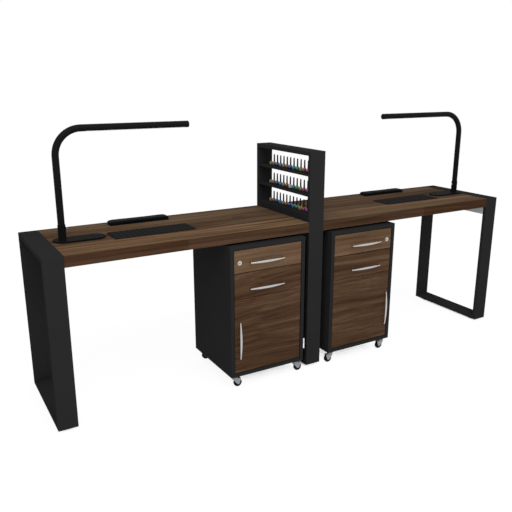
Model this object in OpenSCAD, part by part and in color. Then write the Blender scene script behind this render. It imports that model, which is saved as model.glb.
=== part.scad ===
// Double nail table: two walnut desktops on three flat-tube frames, a bottle display on the
// middle frame, two arched lamps, two padded hand rests and two rolling drawer pedestals.
// Millimetres, +Z up, +Y to the back. The origin is on the floor, in the middle of the
// whole table's box.

/* [Table] */
// Height of the desktops' top faces above the floor
desk_height = 750; // [700:1:800]
// Length of each desktop, from frame to frame
desk_length = 1145; // [1100:1:1300]
// Depth of the desktops and the frames, front to back
desk_depth = 494; // [470:1:560]
// Thickness of each desktop
desk_thick = 48; // [36:1:60]

/* [Frames] */
// Width of the flat frame tube, seen from the front
tube_w = 83; // [70:1:100]
// Thickness of the flat frame tube
tube_t = 20; // [18:1:26]
// Wall of the frame tube
tube_wall = 2; // [1.5:0.1:2.5]

/* [Floor glides] */
// Height of each glide under its frame
glide_h = 12; // [8:1:16]
// Diameter of each glide
glide_d = 42; // [28:1:46]
// Diameter of the glide's stem, inside the tube
glide_stem_d = 10; // [8:1:12]
// Length of the glide's stem, inside the tube
glide_stem_l = 10; // [8:1:12]
// Distance from a glide's middle to the frame's front or back face
glide_inset = 57; // [40:1:90]

/* [Support rails] */
// Height of each steel angle under a desktop's end
rail_h = 45; // [35:1:60]
// Width of the angle's leg under the desktop
rail_w = 30; // [24:1:34]
// Thickness of the angle's steel
rail_t = 3; // [2:0.5:4]
// Width of the plates that close an angle's ends
rail_tab = 30; // [25:1:38]

/* [Fasteners] */
// Diameter of the bolts that hold the angles to the frames
bolt_d = 6; // [5:0.5:8]
// Length of a bolt inside the frame tube
bolt_grip = 12; // [8:1:16]
// Diameter of a bolt's head
bolt_head_d = 11; // [9:0.5:13]
// Height of a bolt's head
bolt_head_h = 3.5; // [3:0.5:5]
// Distance from an angle's lower edge to its bolts
bolt_rise = 18; // [14:1:24]
// Distance from a frame's side to the bolts in its posts
bolt_inset = 17; // [12:0.5:18]
// Diameter of the screws that hold the angles to the desktops
screw_d = 4.4; // [3.5:0.1:5]
// Length of a screw inside the desktop
screw_grip = 24; // [16:1:32]
// Diameter of a screw's head
screw_head_d = 8; // [7:0.5:10]
// Height of a screw's head
screw_head_h = 2.5; // [2:0.5:3.5]
// Distance between neighbouring desktop screws, front to back
screw_pitch = 160; // [100:1:200]
// Diameter of the dowels that carry the display boards
dowel_d = 6; // [5:0.5:8]
// Length of a dowel inside the board and inside the post
dowel_grip = 12; // [8:1:15]
// Distance between the two dowels at one end of a board
dowel_pitch = 44; // [30:1:56]
// Gap round a bolt, screw or dowel in its hole
fit_gap = 0.05; // [0.02:0.01:0.1]

/* [Display] */
// Thickness of the display's floor board
display_floor_t = 35; // [20:1:40]
// Thickness of each display shelf
shelf_t = 10; // [8:1:16]
// Number of bottles in a row
bottle_count = 12; // [6:1:13]
// Distance between neighbouring bottles
bottle_pitch = 30.7; // [24:0.1:32]
// Diameter of a bottle
bottle_d = 18; // [14:0.5:22]
// Height of a bottle's shoulder
bottle_h = 18; // [14:0.5:24]
// Diameter of a bottle's neck
neck_d = 5; // [4:0.5:6]
// Height of a bottle's neck
neck_h = 6; // [4:0.5:8]
// Diameter of a bottle cap's lower end
cap_d = 8.5; // [8:0.5:11]
// Diameter of a bottle cap's upper end
cap_tip_d = 6.5; // [5:0.5:8]
// Height of a bottle cap
cap_h = 38; // [28:0.5:40]
// Free height over the bottles in each bay of the display
bottle_clear = 29.7; // [20:0.1:60]

/* [Lamps] */
// Distance from the table's middle to the middle of a lamp's base, before the shift
lamp_x = 1081; // [1000:1:1090]
// Shift of both lamps to the right
lamp_shift = 17; // [0:1:30]
// Distance that the lamps stand in front of the desktops' centre line
lamp_front = 15; // [0:1:40]
// Length of the lamp's base plate
base_l = 222; // [200:1:260]
// Width of the lamp's base plate
base_w = 90; // [70:1:110]
// Thickness of the lamp's base plate
base_t = 7; // [5:0.5:12]
// Distance from the base plate's middle to the post's axis
post_offset = 71; // [50:1:75]
// Diameter of the lamp's tube
lamp_d = 29; // [24:0.5:32]
// Wall of the lamp's tube
lamp_wall = 1.5; // [1.2:0.1:2]
// Height of the arm's axis above the desktop
arm_rise = 462.5; // [380:0.5:560]
// Distance from the post's axis to the arm's end
arm_reach = 588; // [520:1:640]
// Radius of the bend, to the tube's axis
bend_r = 110; // [70:1:140]
// Height of the collar that the post turns in
collar_h = 64; // [50:1:80]
// Wall of the collar round the post
collar_wall = 1.95; // [1.8:0.05:3]
// Height of the wiring space in the bottom of the collar
collar_step = 14; // [12:1:18]
// Distance from the bend's end to the light strip
strip_start = 20; // [10:1:60]
// Distance from the light strip to the arm's end
strip_end = 18; // [15:1:60]
// Width of the light strip's window
strip_w = 15; // [10:0.5:18]
// Width of the light strip's circuit board
led_w = 9; // [8:0.5:10]
// Thickness of the light strip's circuit board
led_t = 1.6; // [1:0.1:2]
// Thickness of the plug's flange in the arm's end
plug_t = 3; // [2:0.5:5]
// Length of the plug inside the tube
plug_l = 10; // [6:1:14]
// Height of the lamp switch above the base plate
switch_rise = 47; // [36:1:54]
// Diameter of the lamp switch's button
switch_d = 7; // [5:0.5:9]
// Length of the button outside its boss
switch_proud = 2.5; // [2:0.1:4]
// Distance that the button travels
switch_travel = 1; // [0.6:0.1:1.2]
// Distance that the switch's boss stands out of the collar
boss_l = 3; // [2.6:0.1:4]
// Inner diameter of the lamp's cord gland
gland_bore_d = 5; // [4:0.1:6]
// Outer diameter of the gland's stem, in the collar
gland_stem_d = 8; // [7:0.5:9]
// Diameter of the gland's nose, outside the collar
gland_nose_d = 11; // [10:0.5:12]
// Length of the gland's nose
gland_nose_l = 8; // [6:0.5:12]
// Gap round a shaft that turns or slides in its bore
run_gap = 0.05; // [0.02:0.01:0.1]
// Gap between the end faces of pieces that move past each other
end_gap = 0.3; // [0.2:0.05:0.6]

/* [Hand rests and mats] */
// Distance from the table's middle to the middle of a hand rest, before the shift
rest_x = 757; // [700:1:800]
// Shift of both hand rests to the right
rest_shift = 26; // [0:1:40]
// Distance from a hand rest to the desktop's back edge
rest_back = 25; // [10:1:50]
// Length of a hand rest
rest_l = 300; // [240:1:360]
// Depth of a hand rest
rest_d = 72; // [60:1:90]
// Thickness of the board under a hand rest's cushion
rest_board_t = 3; // [3:0.5:8]
// Distance that the cushion overhangs its board
rest_overhang = 4; // [2:0.5:8]
// Height of the cushion at its crown
cushion_h = 16; // [12:0.5:40]
// Height at which the cushion is widest
cushion_belly = 5; // [4:0.5:8]
// Distance that the cushion's long sides pull in at their middle
cushion_pull = 1.5; // [0:0.1:3]
// Distance from the table's middle to the middle of a mat, before the shift
mat_x = 757; // [700:1:780]
// Shift of both mats to the right
mat_shift = 10; // [0:1:30]
// Distance from a mat to the desktop's front edge
mat_front = 150; // [80:1:170]
// Length of a mat
mat_l = 376; // [300:1:380]
// Depth of a mat
mat_d = 124; // [90:1:140]
// Thickness of a mat
mat_t = 4; // [2:0.5:6]
// Radius of a mat's corners
mat_r = 4; // [2:0.5:12]

/* [Pedestals] */
// Distance from the table's middle to the middle of a pedestal
ped_x = 278; // [274:1:320]
// Width of a pedestal
ped_w = 400; // [380:1:402]
// Depth of a pedestal
ped_d = 400; // [380:1:440]
// Distance that a pedestal stands out in front of the desktops
ped_proud = 23; // [0:1:60]
// Gap between a pedestal's top and the desktop above it
ped_top_gap = 9; // [5:1:20]
// Thickness of a pedestal's boards
board_t = 18; // [15:1:20]
// Thickness of a pedestal's back board
back_t = 6; // [3:1:8]
// Thickness of the board between the drawers and the cupboard
divider_t = 16; // [12:1:18]
// Distance from the back of the door to the divider's front edge
divider_set = 10; // [9:1:14]

/* [Drawers and door] */
// Height of the top drawer's front
top_front_h = 106; // [102:1:114]
// Height of the lower drawer's front
lower_front_h = 120; // [112:1:140]
// Thickness of the drawer fronts and the door
front_t = 16; // [15:1:19]
// Gap round the drawer fronts and the door
front_gap = 3; // [2.8:0.1:4]
// Distance from the pedestal's front edges back to the fronts' faces
front_inset = 2; // [0:0.5:4]
// Height of the top drawer's box
top_box_h = 78; // [60:1:80]
// Height of the lower drawer's box
lower_box_h = 90; // [70:1:94]
// Space between the drawer boxes and the pedestal's back board
box_clear = 26; // [20:1:100]
// Thickness of the drawer boxes' boards
box_t = 12; // [10:1:14]
// Thickness of the drawer boxes' bottoms
box_floor_t = 4; // [3:0.5:6]
// Distance from a front's lower edge up to its box
box_rise = 12; // [10:1:16]
// Distance from a box's lower edge up to its bottom
floor_rise = 8; // [4:1:12]

/* [Runners] */
// Space for a runner between a drawer box and the pedestal's side
runner_space = 13; // [12:0.5:15]
// Height of a runner
runner_h = 36; // [30:1:42]
// Thickness of a runner's steel
runner_t = 1.5; // [1:0.1:2]
// Depth of a runner's flanges
runner_flange = 8; // [6:0.5:9]
// Distance from a box's lower edge up to its runners
runner_rise = 15; // [10:1:20]

/* [Handles] */
// Length of a bow handle, foot to foot
handle_l = 182; // [140:1:200]
// Distance from a front's face to the top of the bow
handle_bow = 24; // [20:1:30]
// Distance that the bow's middle stands out farther than its ends
handle_sag = 7; // [5:0.5:12]
// Thickness of the handle's strap
strap_t = 4; // [3:0.5:6]
// Width of the strap at the middle of the bow
strap_mid = 11; // [9:0.5:14]
// Width of the strap at its ends
strap_end = 6; // [5:0.5:8]
// Diameter of a handle's feet
foot_d = 8; // [7:0.5:10]
// Diameter of a handle's screws
handle_screw_d = 4; // [3:0.5:5]
// Distance that the drawer handles sit outwards from the pedestal's middle
handle_shift = 12; // [0:1:20]
// Distance from the top drawer's upper edge to its handle
top_handle_drop = 62; // [50:1:66]
// Distance from the lower drawer's upper edge to its handle
lower_handle_drop = 77; // [50:1:82]
// Distance from the door's upper edge to the middle of its handle
door_handle_drop = 198; // [120:1:220]
// Distance from the door's free edge to its handle
door_handle_inset = 22; // [14:1:40]

/* [Lock] */
// Distance from the inside of a drawer box's side to the middle of the lock
lock_side = 5; // [5:0.5:12]
// Distance from the top drawer's upper edge to the lock
lock_drop = 58; // [50:1:62]
// Diameter of the lock's face
lock_face_d = 22; // [20:0.5:25]
// Distance that the lock's face stands out of the drawer front
lock_face_t = 2; // [1.5:0.5:4]
// Diameter of the lock's housing in the drawer front
lock_body_d = 17; // [14:0.5:18]
// Diameter of the turning barrel
lock_barrel_d = 9; // [8.5:0.5:9.5]
// Width of the key slot
key_slot_w = 1.6; // [1:0.1:2]
// Length of the key slot
key_slot_l = 7; // [5:0.5:8]
// Length of the lock's cam, from the barrel's axis
cam_l = 44; // [40:1:48]
// Width of the lock's cam
cam_w = 9; // [8:0.5:10]
// Thickness of the lock's cam
cam_t = 2; // [1.5:0.5:3]
// Width of the keeper that the cam locks behind
keeper_w = 9; // [6:0.5:9]
// Height of the keeper under the pedestal's top
keeper_h = 28; // [24:1:29]
// Thickness of the keeper
keeper_t = 1.5; // [1:0.1:2]

/* [Door hinges] */
// Diameter of the two upright pins that the door turns on
pin_d = 5; // [4:0.5:6]
// Length of a pin inside the door
pin_grip = 10; // [8:1:14]
// Distance from the door's hinged edge to its pins
pin_inset = 12; // [12:0.5:14]
// Thickness of the hinge plates
hinge_plate_t = 1.4; // [1:0.1:1.6]
// Distance from a pin to the edges of its plate
hinge_plate_rim = 6; // [5:0.5:7]
// Depth of the lower hinge plate behind the door
hinge_plate_l = 24; // [16:1:40]

/* [Casters] */
// Height of a caster, from the floor to the pedestal
caster_h = 59; // [56:1:66]
// Diameter of a caster's wheel
wheel_d = 40; // [34:0.5:41]
// Width of a caster's wheel
wheel_w = 14; // [12:0.5:16]
// Radius of the wheel's rounded edges
wheel_round = 2; // [1:0.25:3]
// Depth of the dish in each side of the wheel
wheel_dish = 1.5; // [0.5:0.25:3]
// Diameter of a caster's axle
axle_d = 6; // [5:0.5:7]
// Distance from a caster's upright axis back to its axle
trail = 14; // [10:0.5:18]
// Side of a caster's square plate
plate_w = 38; // [34:1:42]
// Thickness of a caster's plate
plate_t = 2; // [1.5:0.5:3]
// Diameter of a caster's bearing housing
race_d = 28; // [24:1:30]
// Height of a caster's bearing housing
race_h = 6; // [5:0.5:8]
// Diameter of a caster's kingpin
kingpin_d = 8; // [6:0.5:10]
// Thickness of a caster fork's cheeks and roof
cheek_t = 2; // [1.5:0.5:3]
// Gap between a wheel and its fork
wheel_gap = 0.6; // [0.4:0.1:1]
// Distance from a caster's upright axis to the pedestal's side
caster_side = 30; // [26:1:60]
// Distance from a caster's upright axis to the pedestal's front or back
caster_front = 25; // [24:1:60]
// Diameter of the screws in a caster's plate
plate_screw_d = 4; // [3:0.5:4.5]
// Length of these screws inside the pedestal's bottom board
plate_screw_grip = 13; // [8:1:14]
// Diameter of these screws' heads
plate_head_d = 6.5; // [6:0.5:7]
// Height of these screws' heads
plate_head_h = 1.8; // [1.5:0.1:2.2]
// Distance from a plate's edge to the middle of a screw
plate_screw_edge = 4.5; // [4:0.5:5]

/* [Hidden] */
$fn = 64;

// Sides and ends, for mirrored pieces
left = -1;
right = 1;
front = -1;
rear = 1;
inner = -1;
outer = 1;

// Overshoot of a cutting shape past the face that it cuts
cut = 1;

// Colours
graphite = [0.19, 0.19, 0.20];
lamp_black = [0.10, 0.10, 0.11];
walnut = [0.36, 0.25, 0.18];
light_steel = [0.78, 0.79, 0.80];
bright_steel = [0.82, 0.82, 0.84];
box_grey = [0.55, 0.55, 0.56];
rubber_black = [0.08, 0.08, 0.08];

// Depth line: the table's box is centred on the origin, front to back
half_depth = desk_depth / 2;
handle_reach = half_depth + ped_proud - front_inset + handle_bow;
mid_y = (handle_reach - half_depth) / 2;

// Heights of the table
desk_under = desk_height - desk_thick;
rail_low = desk_under - rail_h;
display_floor_top = desk_height + display_floor_t;
bay_h = bottle_h + cap_h + bottle_clear;
display_height = display_floor_top + 3 * bay_h + 2 * shelf_t + tube_t;
shelf_tops = [
    display_floor_top,
    display_floor_top + bay_h + shelf_t,
    display_floor_top + 2 * (bay_h + shelf_t)
];

// Faces of the frames, along the table
desk_near = tube_w / 2;
desk_far = desk_near + desk_length;
end_frame_x = desk_far + tube_w / 2;
post_inner = half_depth - tube_t;
post_mid = half_depth - tube_t / 2;

// Levels and faces of a pedestal
ped_low = caster_h;
ped_top = desk_under - ped_top_gap;
ped_front = -(half_depth + ped_proud);
ped_back = ped_front + ped_d;
inside_low = ped_low + board_t;
inside_top = ped_top - board_t;
inside_half = ped_w / 2 - board_t;
face_y = ped_front + front_inset;
face_back = face_y + front_t;
front_half = inside_half - front_gap;
top_front_top = inside_top - front_gap;
top_front_low = top_front_top - top_front_h;
lower_front_top = top_front_low - front_gap;
lower_front_low = lower_front_top - lower_front_h;
door_top = lower_front_low - front_gap;
door_low = inside_low + front_gap;
divider_mid = (lower_front_low + door_top) / 2;
box_half = inside_half - runner_space;
box_d = ped_d - front_inset - front_t - back_t - box_clear;
top_handle_z = top_front_top - top_handle_drop;
lower_handle_z = lower_front_top - lower_handle_drop;
door_handle_z = door_top - door_handle_drop;
door_handle_x = front_half - door_handle_inset;
lock_x = box_half - box_t - lock_side;
lock_z = top_front_top - lock_drop;

// Lamp sizes
lamp_r = lamp_d / 2;
lamp_bore_r = lamp_r - lamp_wall;
collar_r = lamp_r + run_gap + collar_wall;
base_top = desk_height + base_t;
arm_z = desk_height + arm_rise;
tube_low = base_top + collar_step + end_gap;
strip_l = arm_reach - bend_r - strip_start - strip_end;
strip_top = sqrt(lamp_bore_r * lamp_bore_r - strip_w * strip_w / 4) - 0.5;
boss_d = switch_d + 3;
boss_face = collar_r + boss_l;
button_low = lamp_r + run_gap + (collar_wall + boss_l) * 0.4 + switch_travel;

// Handle curves
bow_r = (handle_l * handle_l / 4 + handle_sag * handle_sag) / (2 * handle_sag);
swell = (strap_mid - strap_end) / 2;
swell_r = (handle_l * handle_l / 4 + swell * swell) / (2 * swell);
foot_x = handle_l / 2 - foot_d / 2;
foot_h = handle_bow - handle_sag - strap_t / 2;

// Hinge sizes
pin_x = -(front_half - pin_inset);
pin_y = face_y + front_t / 2;
divider_front = face_back + divider_set;
upper_plate_z = door_top + (front_gap - hinge_plate_t) / 2;

// Caster sizes
wheel_r = wheel_d / 2;
roof_low = wheel_d + wheel_gap + 0.6;
race_low = caster_h - plate_t - race_h;
cheek_in = wheel_w / 2 + wheel_gap;
cheek_out = cheek_in + cheek_t;

// Cushion mesh
ring_points = 48;
cushion_low = desk_height + rest_board_t;

// General helpers

module placed() {
    translate([0, mid_y, 0]) children();
}

module on_side(side) {
    if (side == left) mirror([1, 0, 0]) children();
    else children();
}

// A box given by its lowest and highest corners
module block(low, high) {
    translate(low) cube(high - low);
}

// Cylinders along X and along Y, from the middle of one end
module rod_x(d, l) {
    rotate([0, 90, 0]) cylinder(d = d, h = l);
}

module rod_y(d, l) {
    rotate([-90, 0, 0]) cylinder(d = d, h = l);
}

module rounded_plate(l, w, t, r) {
    linear_extrude(t) {
        square([l - 2 * r, w], center = true);
        square([l, w - 2 * r], center = true);
        for (sx = [-1, 1], sy = [-1, 1])
            translate([sx * (l / 2 - r), sy * (w / 2 - r)]) circle(r);
    }
}

module stadium_plate(l, w, t) {
    linear_extrude(t) {
        square([l - w, w], center = true);
        for (sx = [-1, 1])
            translate([sx * (l - w) / 2, 0]) circle(d = w);
    }
}

// Frames

// One mitred side of a rectangular ring, between two insets from its outline
function ring_side(side, z0, z1, a, b) =
    let (y = half_depth)
    side == 0 ? [[-y + a, z0 + a], [y - a, z0 + a], [y - b, z0 + b], [-y + b, z0 + b]] :
    side == 1 ? [[y - a, z0 + a], [y - a, z1 - a], [y - b, z1 - b], [y - b, z0 + b]] :
    side == 2 ? [[y - a, z1 - a], [-y + a, z1 - a], [-y + b, z1 - b], [y - b, z1 - b]] :
    [[-y + a, z1 - a], [-y + a, z0 + a], [-y + b, z0 + b], [-y + b, z1 - b]];

// Stands an outline drawn in Y and Z upright, with its width along X
module along_x(w) {
    rotate([90, 0, 90]) translate([0, 0, -w / 2]) linear_extrude(w) children();
}

// Four hollow tubes, mitred at the corners
module tube_ring(z0, z1) {
    for (side = [0:3]) difference() {
        along_x(tube_w) polygon(ring_side(side, z0, z1, 0, tube_t));
        along_x(tube_w - 2 * tube_wall)
            polygon(ring_side(side, z0, z1, tube_wall, tube_t - tube_wall));
        if (side == 0) glide_holes(z0);
        if (side == 1 || side == 3) post_holes();
    }
}

module glide_holes(z0) {
    for (sy = [front, rear])
        translate([0, sy * (half_depth - glide_inset), z0 - cut])
            cylinder(d = glide_stem_d + 2 * fit_gap, h = tube_wall + 2 * cut);
}

// Bolt holes in the inner walls of the posts, for an angle at either side
module post_holes() {
    for (sx = [-1, 1], sy = [front, rear])
        translate([sx * (tube_w / 2 - bolt_inset), 0, rail_low + bolt_rise]) scale_y(sy)
            translate([0, post_inner - cut, 0])
                rod_y(bolt_d + 2 * fit_gap, tube_wall + 2 * cut);
}

module end_frames() {
    color(graphite) placed() for (side = [left, right])
        translate([side * end_frame_x, 0, 0]) tube_ring(glide_h, desk_height);
}

// The middle frame has a crossbar between its posts, level with the desktops
module centre_frame() {
    color(graphite) placed() difference() {
        union() {
            tube_ring(glide_h, display_height);
            block([-tube_w / 2, -post_inner, desk_height - tube_t],
                [tube_w / 2, post_inner, desk_height]);
        }
        block([-tube_w / 2 + tube_wall, -post_mid, desk_height - tube_t + tube_wall],
            [tube_w / 2 - tube_wall, post_mid, desk_height - tube_wall]);
        dowels(fit_gap);
    }
}

module floor_glides() {
    color(rubber_black) placed()
        for (x = [-end_frame_x, 0, end_frame_x], sy = [front, rear])
            translate([x, sy * (half_depth - glide_inset), 0]) {
                cylinder(d = glide_d, h = glide_h);
                cylinder(d = glide_stem_d, h = glide_h + glide_stem_l);
            }
}

// Desktops, angles and fasteners

// The middle of each angle's outer face, and the way that it points
rail_places = [
    [-desk_far, 1], [-desk_near, -1], [desk_near, 1], [desk_far, -1]
];

module rail_screw_places() {
    for (p = rail_places, k = [-1:1])
        translate([p[0] + p[1] * rail_w / 2, k * screw_pitch, desk_under]) children();
}

module rail_bolt_places() {
    for (p = rail_places, sy = [front, rear])
        translate([p[0] - p[1] * bolt_inset, 0, rail_low + bolt_rise]) scale_y(sy)
            children();
}

module desktop(side) {
    color(walnut) placed() difference() {
        block([min(side * desk_near, side * desk_far), -half_depth, desk_under],
            [max(side * desk_near, side * desk_far), half_depth, desk_height]);
        rail_screw_places()
            translate([0, 0, -cut])
                cylinder(d = screw_d + 2 * fit_gap, h = screw_grip + cut + end_gap);
    }
}

// Steel angles between the posts, closed by a plate at each end
module support_rails() {
    color(light_steel) placed() difference() {
        for (p = rail_places) translate([p[0], 0, 0]) scale_x(p[1]) {
            block([-rail_t, -post_inner, rail_low], [0, post_inner, desk_under]);
            block([-rail_t, -post_inner, desk_under - rail_t],
                [rail_w, post_inner, desk_under]);
            for (sy = [front, rear]) scale_y(sy)
                block([-rail_tab, post_inner - rail_t, rail_low],
                    [0, post_inner, desk_under]);
        }
        rail_bolt_places() translate([0, post_inner - rail_t - cut, 0])
            rod_y(bolt_d + 2 * fit_gap, rail_t + 2 * cut);
        rail_screw_places()
            translate([0, 0, -rail_t - cut])
                cylinder(d = screw_d + 2 * fit_gap, h = rail_t + 2 * cut);
    }
}

// Turns a shape round to point along -X or along -Y
module scale_x(way) {
    if (way < 0) mirror([1, 0, 0]) children();
    else children();
}

module scale_y(way) {
    if (way < 0) mirror([0, 1, 0]) children();
    else children();
}

// Dowels in both ends of the three display boards
module dowels(gap) {
    for (k = [0:2], sy = [front, rear], sx = [-1, 1])
        translate([sx * dowel_pitch / 2, sy * post_inner - dowel_grip - gap,
            shelf_tops[k] - (k == 0 ? display_floor_t : shelf_t) / 2])
            rod_y(dowel_d + 2 * gap, 2 * dowel_grip + 2 * gap);
}

module table_fasteners() {
    color(light_steel) placed() {
        rail_bolt_places() {
            translate([0, post_inner - rail_t, 0])
                rod_y(bolt_d, rail_t + tube_wall + bolt_grip);
            translate([0, post_inner - rail_t - bolt_head_h, 0])
                rod_y(bolt_head_d, bolt_head_h);
        }
        rail_screw_places() {
            translate([0, 0, -rail_t]) cylinder(d = screw_d, h = rail_t + screw_grip);
            translate([0, 0, -rail_t - screw_head_h])
                cylinder(d = screw_head_d, h = screw_head_h);
        }
        dowels(0);
    }
}

// Display

module display_shelves() {
    color(graphite) placed() difference() {
        for (k = [0:2])
            block([-tube_w / 2, -post_inner, shelf_tops[k] - (k == 0 ? display_floor_t : shelf_t)],
                [tube_w / 2, post_inner, shelf_tops[k]]);
        dowels(fit_gap);
    }
}

module bottle_places() {
    for (z = shelf_tops, k = [0:bottle_count - 1])
        translate([0, (k - (bottle_count - 1) / 2) * bottle_pitch, z]) children();
}

module polish_bottles() {
    color([0.75, 0.25, 0.40]) placed() bottle_places()
        rotate_extrude() polygon([
            [0, 0], [bottle_d / 2 - 1, 0], [bottle_d / 2, 1], [bottle_d / 2, bottle_h * 0.65],
            [bottle_d / 2 - 2, bottle_h - 2], [neck_d / 2 + 1, bottle_h], [neck_d / 2, bottle_h],
            [neck_d / 2, bottle_h + neck_h], [0, bottle_h + neck_h]
        ]);
}

module bottle_caps() {
    color(lamp_black) placed() bottle_places()
        translate([0, 0, bottle_h]) difference() {
            cylinder(d1 = cap_d, d2 = cap_tip_d, h = cap_h);
            translate([0, 0, -cut]) cylinder(d = neck_d + 2 * fit_gap, h = neck_h + cut + end_gap);
        }
}

// Lamps

// Places a lamp piece whose own origin is the foot of the post's axis, on the desktop
module at_post(side) {
    placed() translate([lamp_shift, -lamp_front, 0]) on_side(side)
        translate([lamp_x + post_offset, 0, 0]) children();
}

module lamp_base() {
    translate([-post_offset, 0, desk_height]) stadium_plate(base_l, base_w, base_t);
    difference() {
        union() {
            translate([0, 0, base_top]) cylinder(r = collar_r, h = collar_h);
            translate([-boss_face, 0, base_top + switch_rise]) rod_x(boss_d, boss_face);
        }
        translate([0, 0, base_top + collar_step])
            cylinder(r = lamp_r + run_gap, h = collar_h);
        translate([0, 0, base_top - cut])
            cylinder(r = lamp_bore_r - cut, h = collar_step + 2 * cut);
        translate([-boss_face - cut, 0, base_top + switch_rise])
            rod_x(switch_d + 2 * run_gap, boss_face + cut - (button_low - switch_travel));
        translate([0, lamp_bore_r - 2 * cut, base_top + collar_step / 2])
            rod_y(gland_stem_d + 2 * fit_gap, lamp_d);
    }
}

module cord_gland() {
    difference() {
        union() {
            rod_y(gland_stem_d, collar_r + 0.5);
            translate([0, collar_r + 0.5, 0]) rod_y(gland_nose_d, gland_nose_l);
        }
        translate([0, -cut, 0]) rod_y(gland_bore_d, collar_r + gland_nose_l + 2 * cut);
        translate([0, 0, -collar_r]) cylinder(r = lamp_bore_r - cut, h = 2 * collar_r);
    }
}

module lamp_bases() {
    color(lamp_black) for (side = [left, right]) at_post(side) {
        lamp_base();
        translate([0, 0, base_top + collar_step / 2]) cord_gland();
    }
}

// The bent tube's path, filled to the given radius
module arm_path(r, low, reach) {
    translate([0, 0, low]) cylinder(r = r, h = arm_z - bend_r - low);
    translate([-bend_r, 0, arm_z - bend_r]) rotate([90, 0, 0])
        rotate_extrude(angle = 90) translate([bend_r, 0]) circle(r);
    translate([-reach, 0, arm_z]) rod_x(2 * r, reach - bend_r);
}

// The window for the light strip, along the arm's underside
module strip_slot(gap) {
    translate([-bend_r - strip_start - strip_l - gap, -strip_w / 2 - gap, -lamp_r - cut])
        cube([strip_l + 2 * gap, strip_w + 2 * gap, lamp_r + cut - strip_top]);
}

module lamp_arm(side) {
    color(lamp_black) at_post(side) {
        difference() {
            arm_path(lamp_r, tube_low, arm_reach - plug_t - fit_gap);
            arm_path(lamp_bore_r, tube_low - cut, arm_reach);
            translate([0, 0, arm_z]) strip_slot(fit_gap);
        }
        translate([-arm_reach, 0, arm_z]) rotate([0, 90, 0]) end_plug();
        translate([-bend_r - strip_start - strip_l, -led_w / 2, arm_z - strip_top + fit_gap])
            cube([strip_l, led_w, led_t]);
    }
}

module end_plug() {
    rotate_extrude() {
        polygon([
            [0, 0], [lamp_r - plug_t / 2, 0], [lamp_r, plug_t / 2], [lamp_r, plug_t],
            [lamp_bore_r - fit_gap, plug_t], [lamp_bore_r - fit_gap, plug_t + plug_l],
            [0, plug_t + plug_l]
        ]);
    }
}

module lamp_diffuser(side) {
    color([0.95, 0.95, 0.92]) at_post(side) translate([0, 0, arm_z]) intersection() {
        strip_slot(0);
        translate([-arm_reach, 0, 0]) rod_x(lamp_d, arm_reach);
    }
}

module lamp_switch(side) {
    color([0.95, 0.95, 0.95]) at_post(side)
        translate([-boss_face - switch_proud, 0, base_top + switch_rise])
            rod_x(switch_d, boss_face + switch_proud - button_low);
}

// Hand rests and mats

rest_y = half_depth - rest_back - rest_d / 2;
mat_y = -half_depth + mat_front + mat_d / 2;

// Inset from the outline and height of each ring of the cushion, from its lower edge up
// over the belly to the crown
cushion_rings = concat(
    [[rest_overhang, 0], [1.5, cushion_belly * 0.4], [0, cushion_belly]],
    [for (k = [1:8])
        let (a = k * 90 / 8)
        [(rest_d / 2 - 3) * (1 - cos(a)) * 0.999, cushion_belly + (cushion_h - cushion_belly) * sin(a)]]
);

// A rounded outline with a few more points at the corners, pulled in along its long sides
function ring(inset, z) = [
    for (k = [0:ring_points - 1])
        let (a = (k + 0.5) * 360 / ring_points)
        let (c = cos(a))
        let (s = sin(a))
        let (x = (rest_l / 2 - inset) * sign(c) * pow(abs(c), 0.3))
        let (pull = cushion_pull * (1 - pow(abs(x) / (rest_l / 2), 2)))
        let (y = max(rest_d / 2 - inset - pull, 1) * sign(s) * pow(abs(s), 0.3))
        [x, y, z]
];

module cushion() {
    rings = [for (r = cushion_rings) ring(r[0], r[1])];
    n = ring_points;
    last = len(rings) - 1;
    points = concat([for (r = rings) each r], [[0, 0, 0], [0, 0, cushion_h]]);
    base_point = len(points) - 2;
    faces = concat(
        [for (j = [0:last - 1], k = [0:n - 1])
            each [
                [j * n + k, (j + 1) * n + k, j * n + (k + 1) % n],
                [j * n + (k + 1) % n, (j + 1) * n + k, (j + 1) * n + (k + 1) % n]
            ]],
        [for (k = [0:n - 1]) [base_point, k, (k + 1) % n]],
        [for (k = [0:n - 1]) [last * n + k, base_point + 1, last * n + (k + 1) % n]]
    );
    polyhedron(points, faces);
}

module at_rest(side) {
    placed() translate([side * rest_x + rest_shift, rest_y, 0]) children();
}

module hand_rest(side) {
    color([0.12, 0.12, 0.13]) at_rest(side) translate([0, 0, cushion_low]) cushion();
}

module hand_rest_boards() {
    color(lamp_black) for (side = [left, right]) at_rest(side)
        translate([0, 0, desk_height])
            rounded_plate(rest_l - 2 * rest_overhang, rest_d - 2 * rest_overhang - 2 * cushion_pull,
                rest_board_t, rest_overhang);
}

module work_mats() {
    color([0.20, 0.20, 0.21]) placed() for (side = [left, right])
        translate([side * mat_x + mat_shift, mat_y, desk_height])
            rounded_plate(mat_l, mat_d, mat_t, mat_r);
}

// Pedestals: every piece is drawn for the right pedestal, about its own middle line, with
// the hinge on the inner side, and mirrored for the left one

module at_pedestal(side) {
    placed() on_side(side) translate([ped_x, 0, 0]) children();
}

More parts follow.
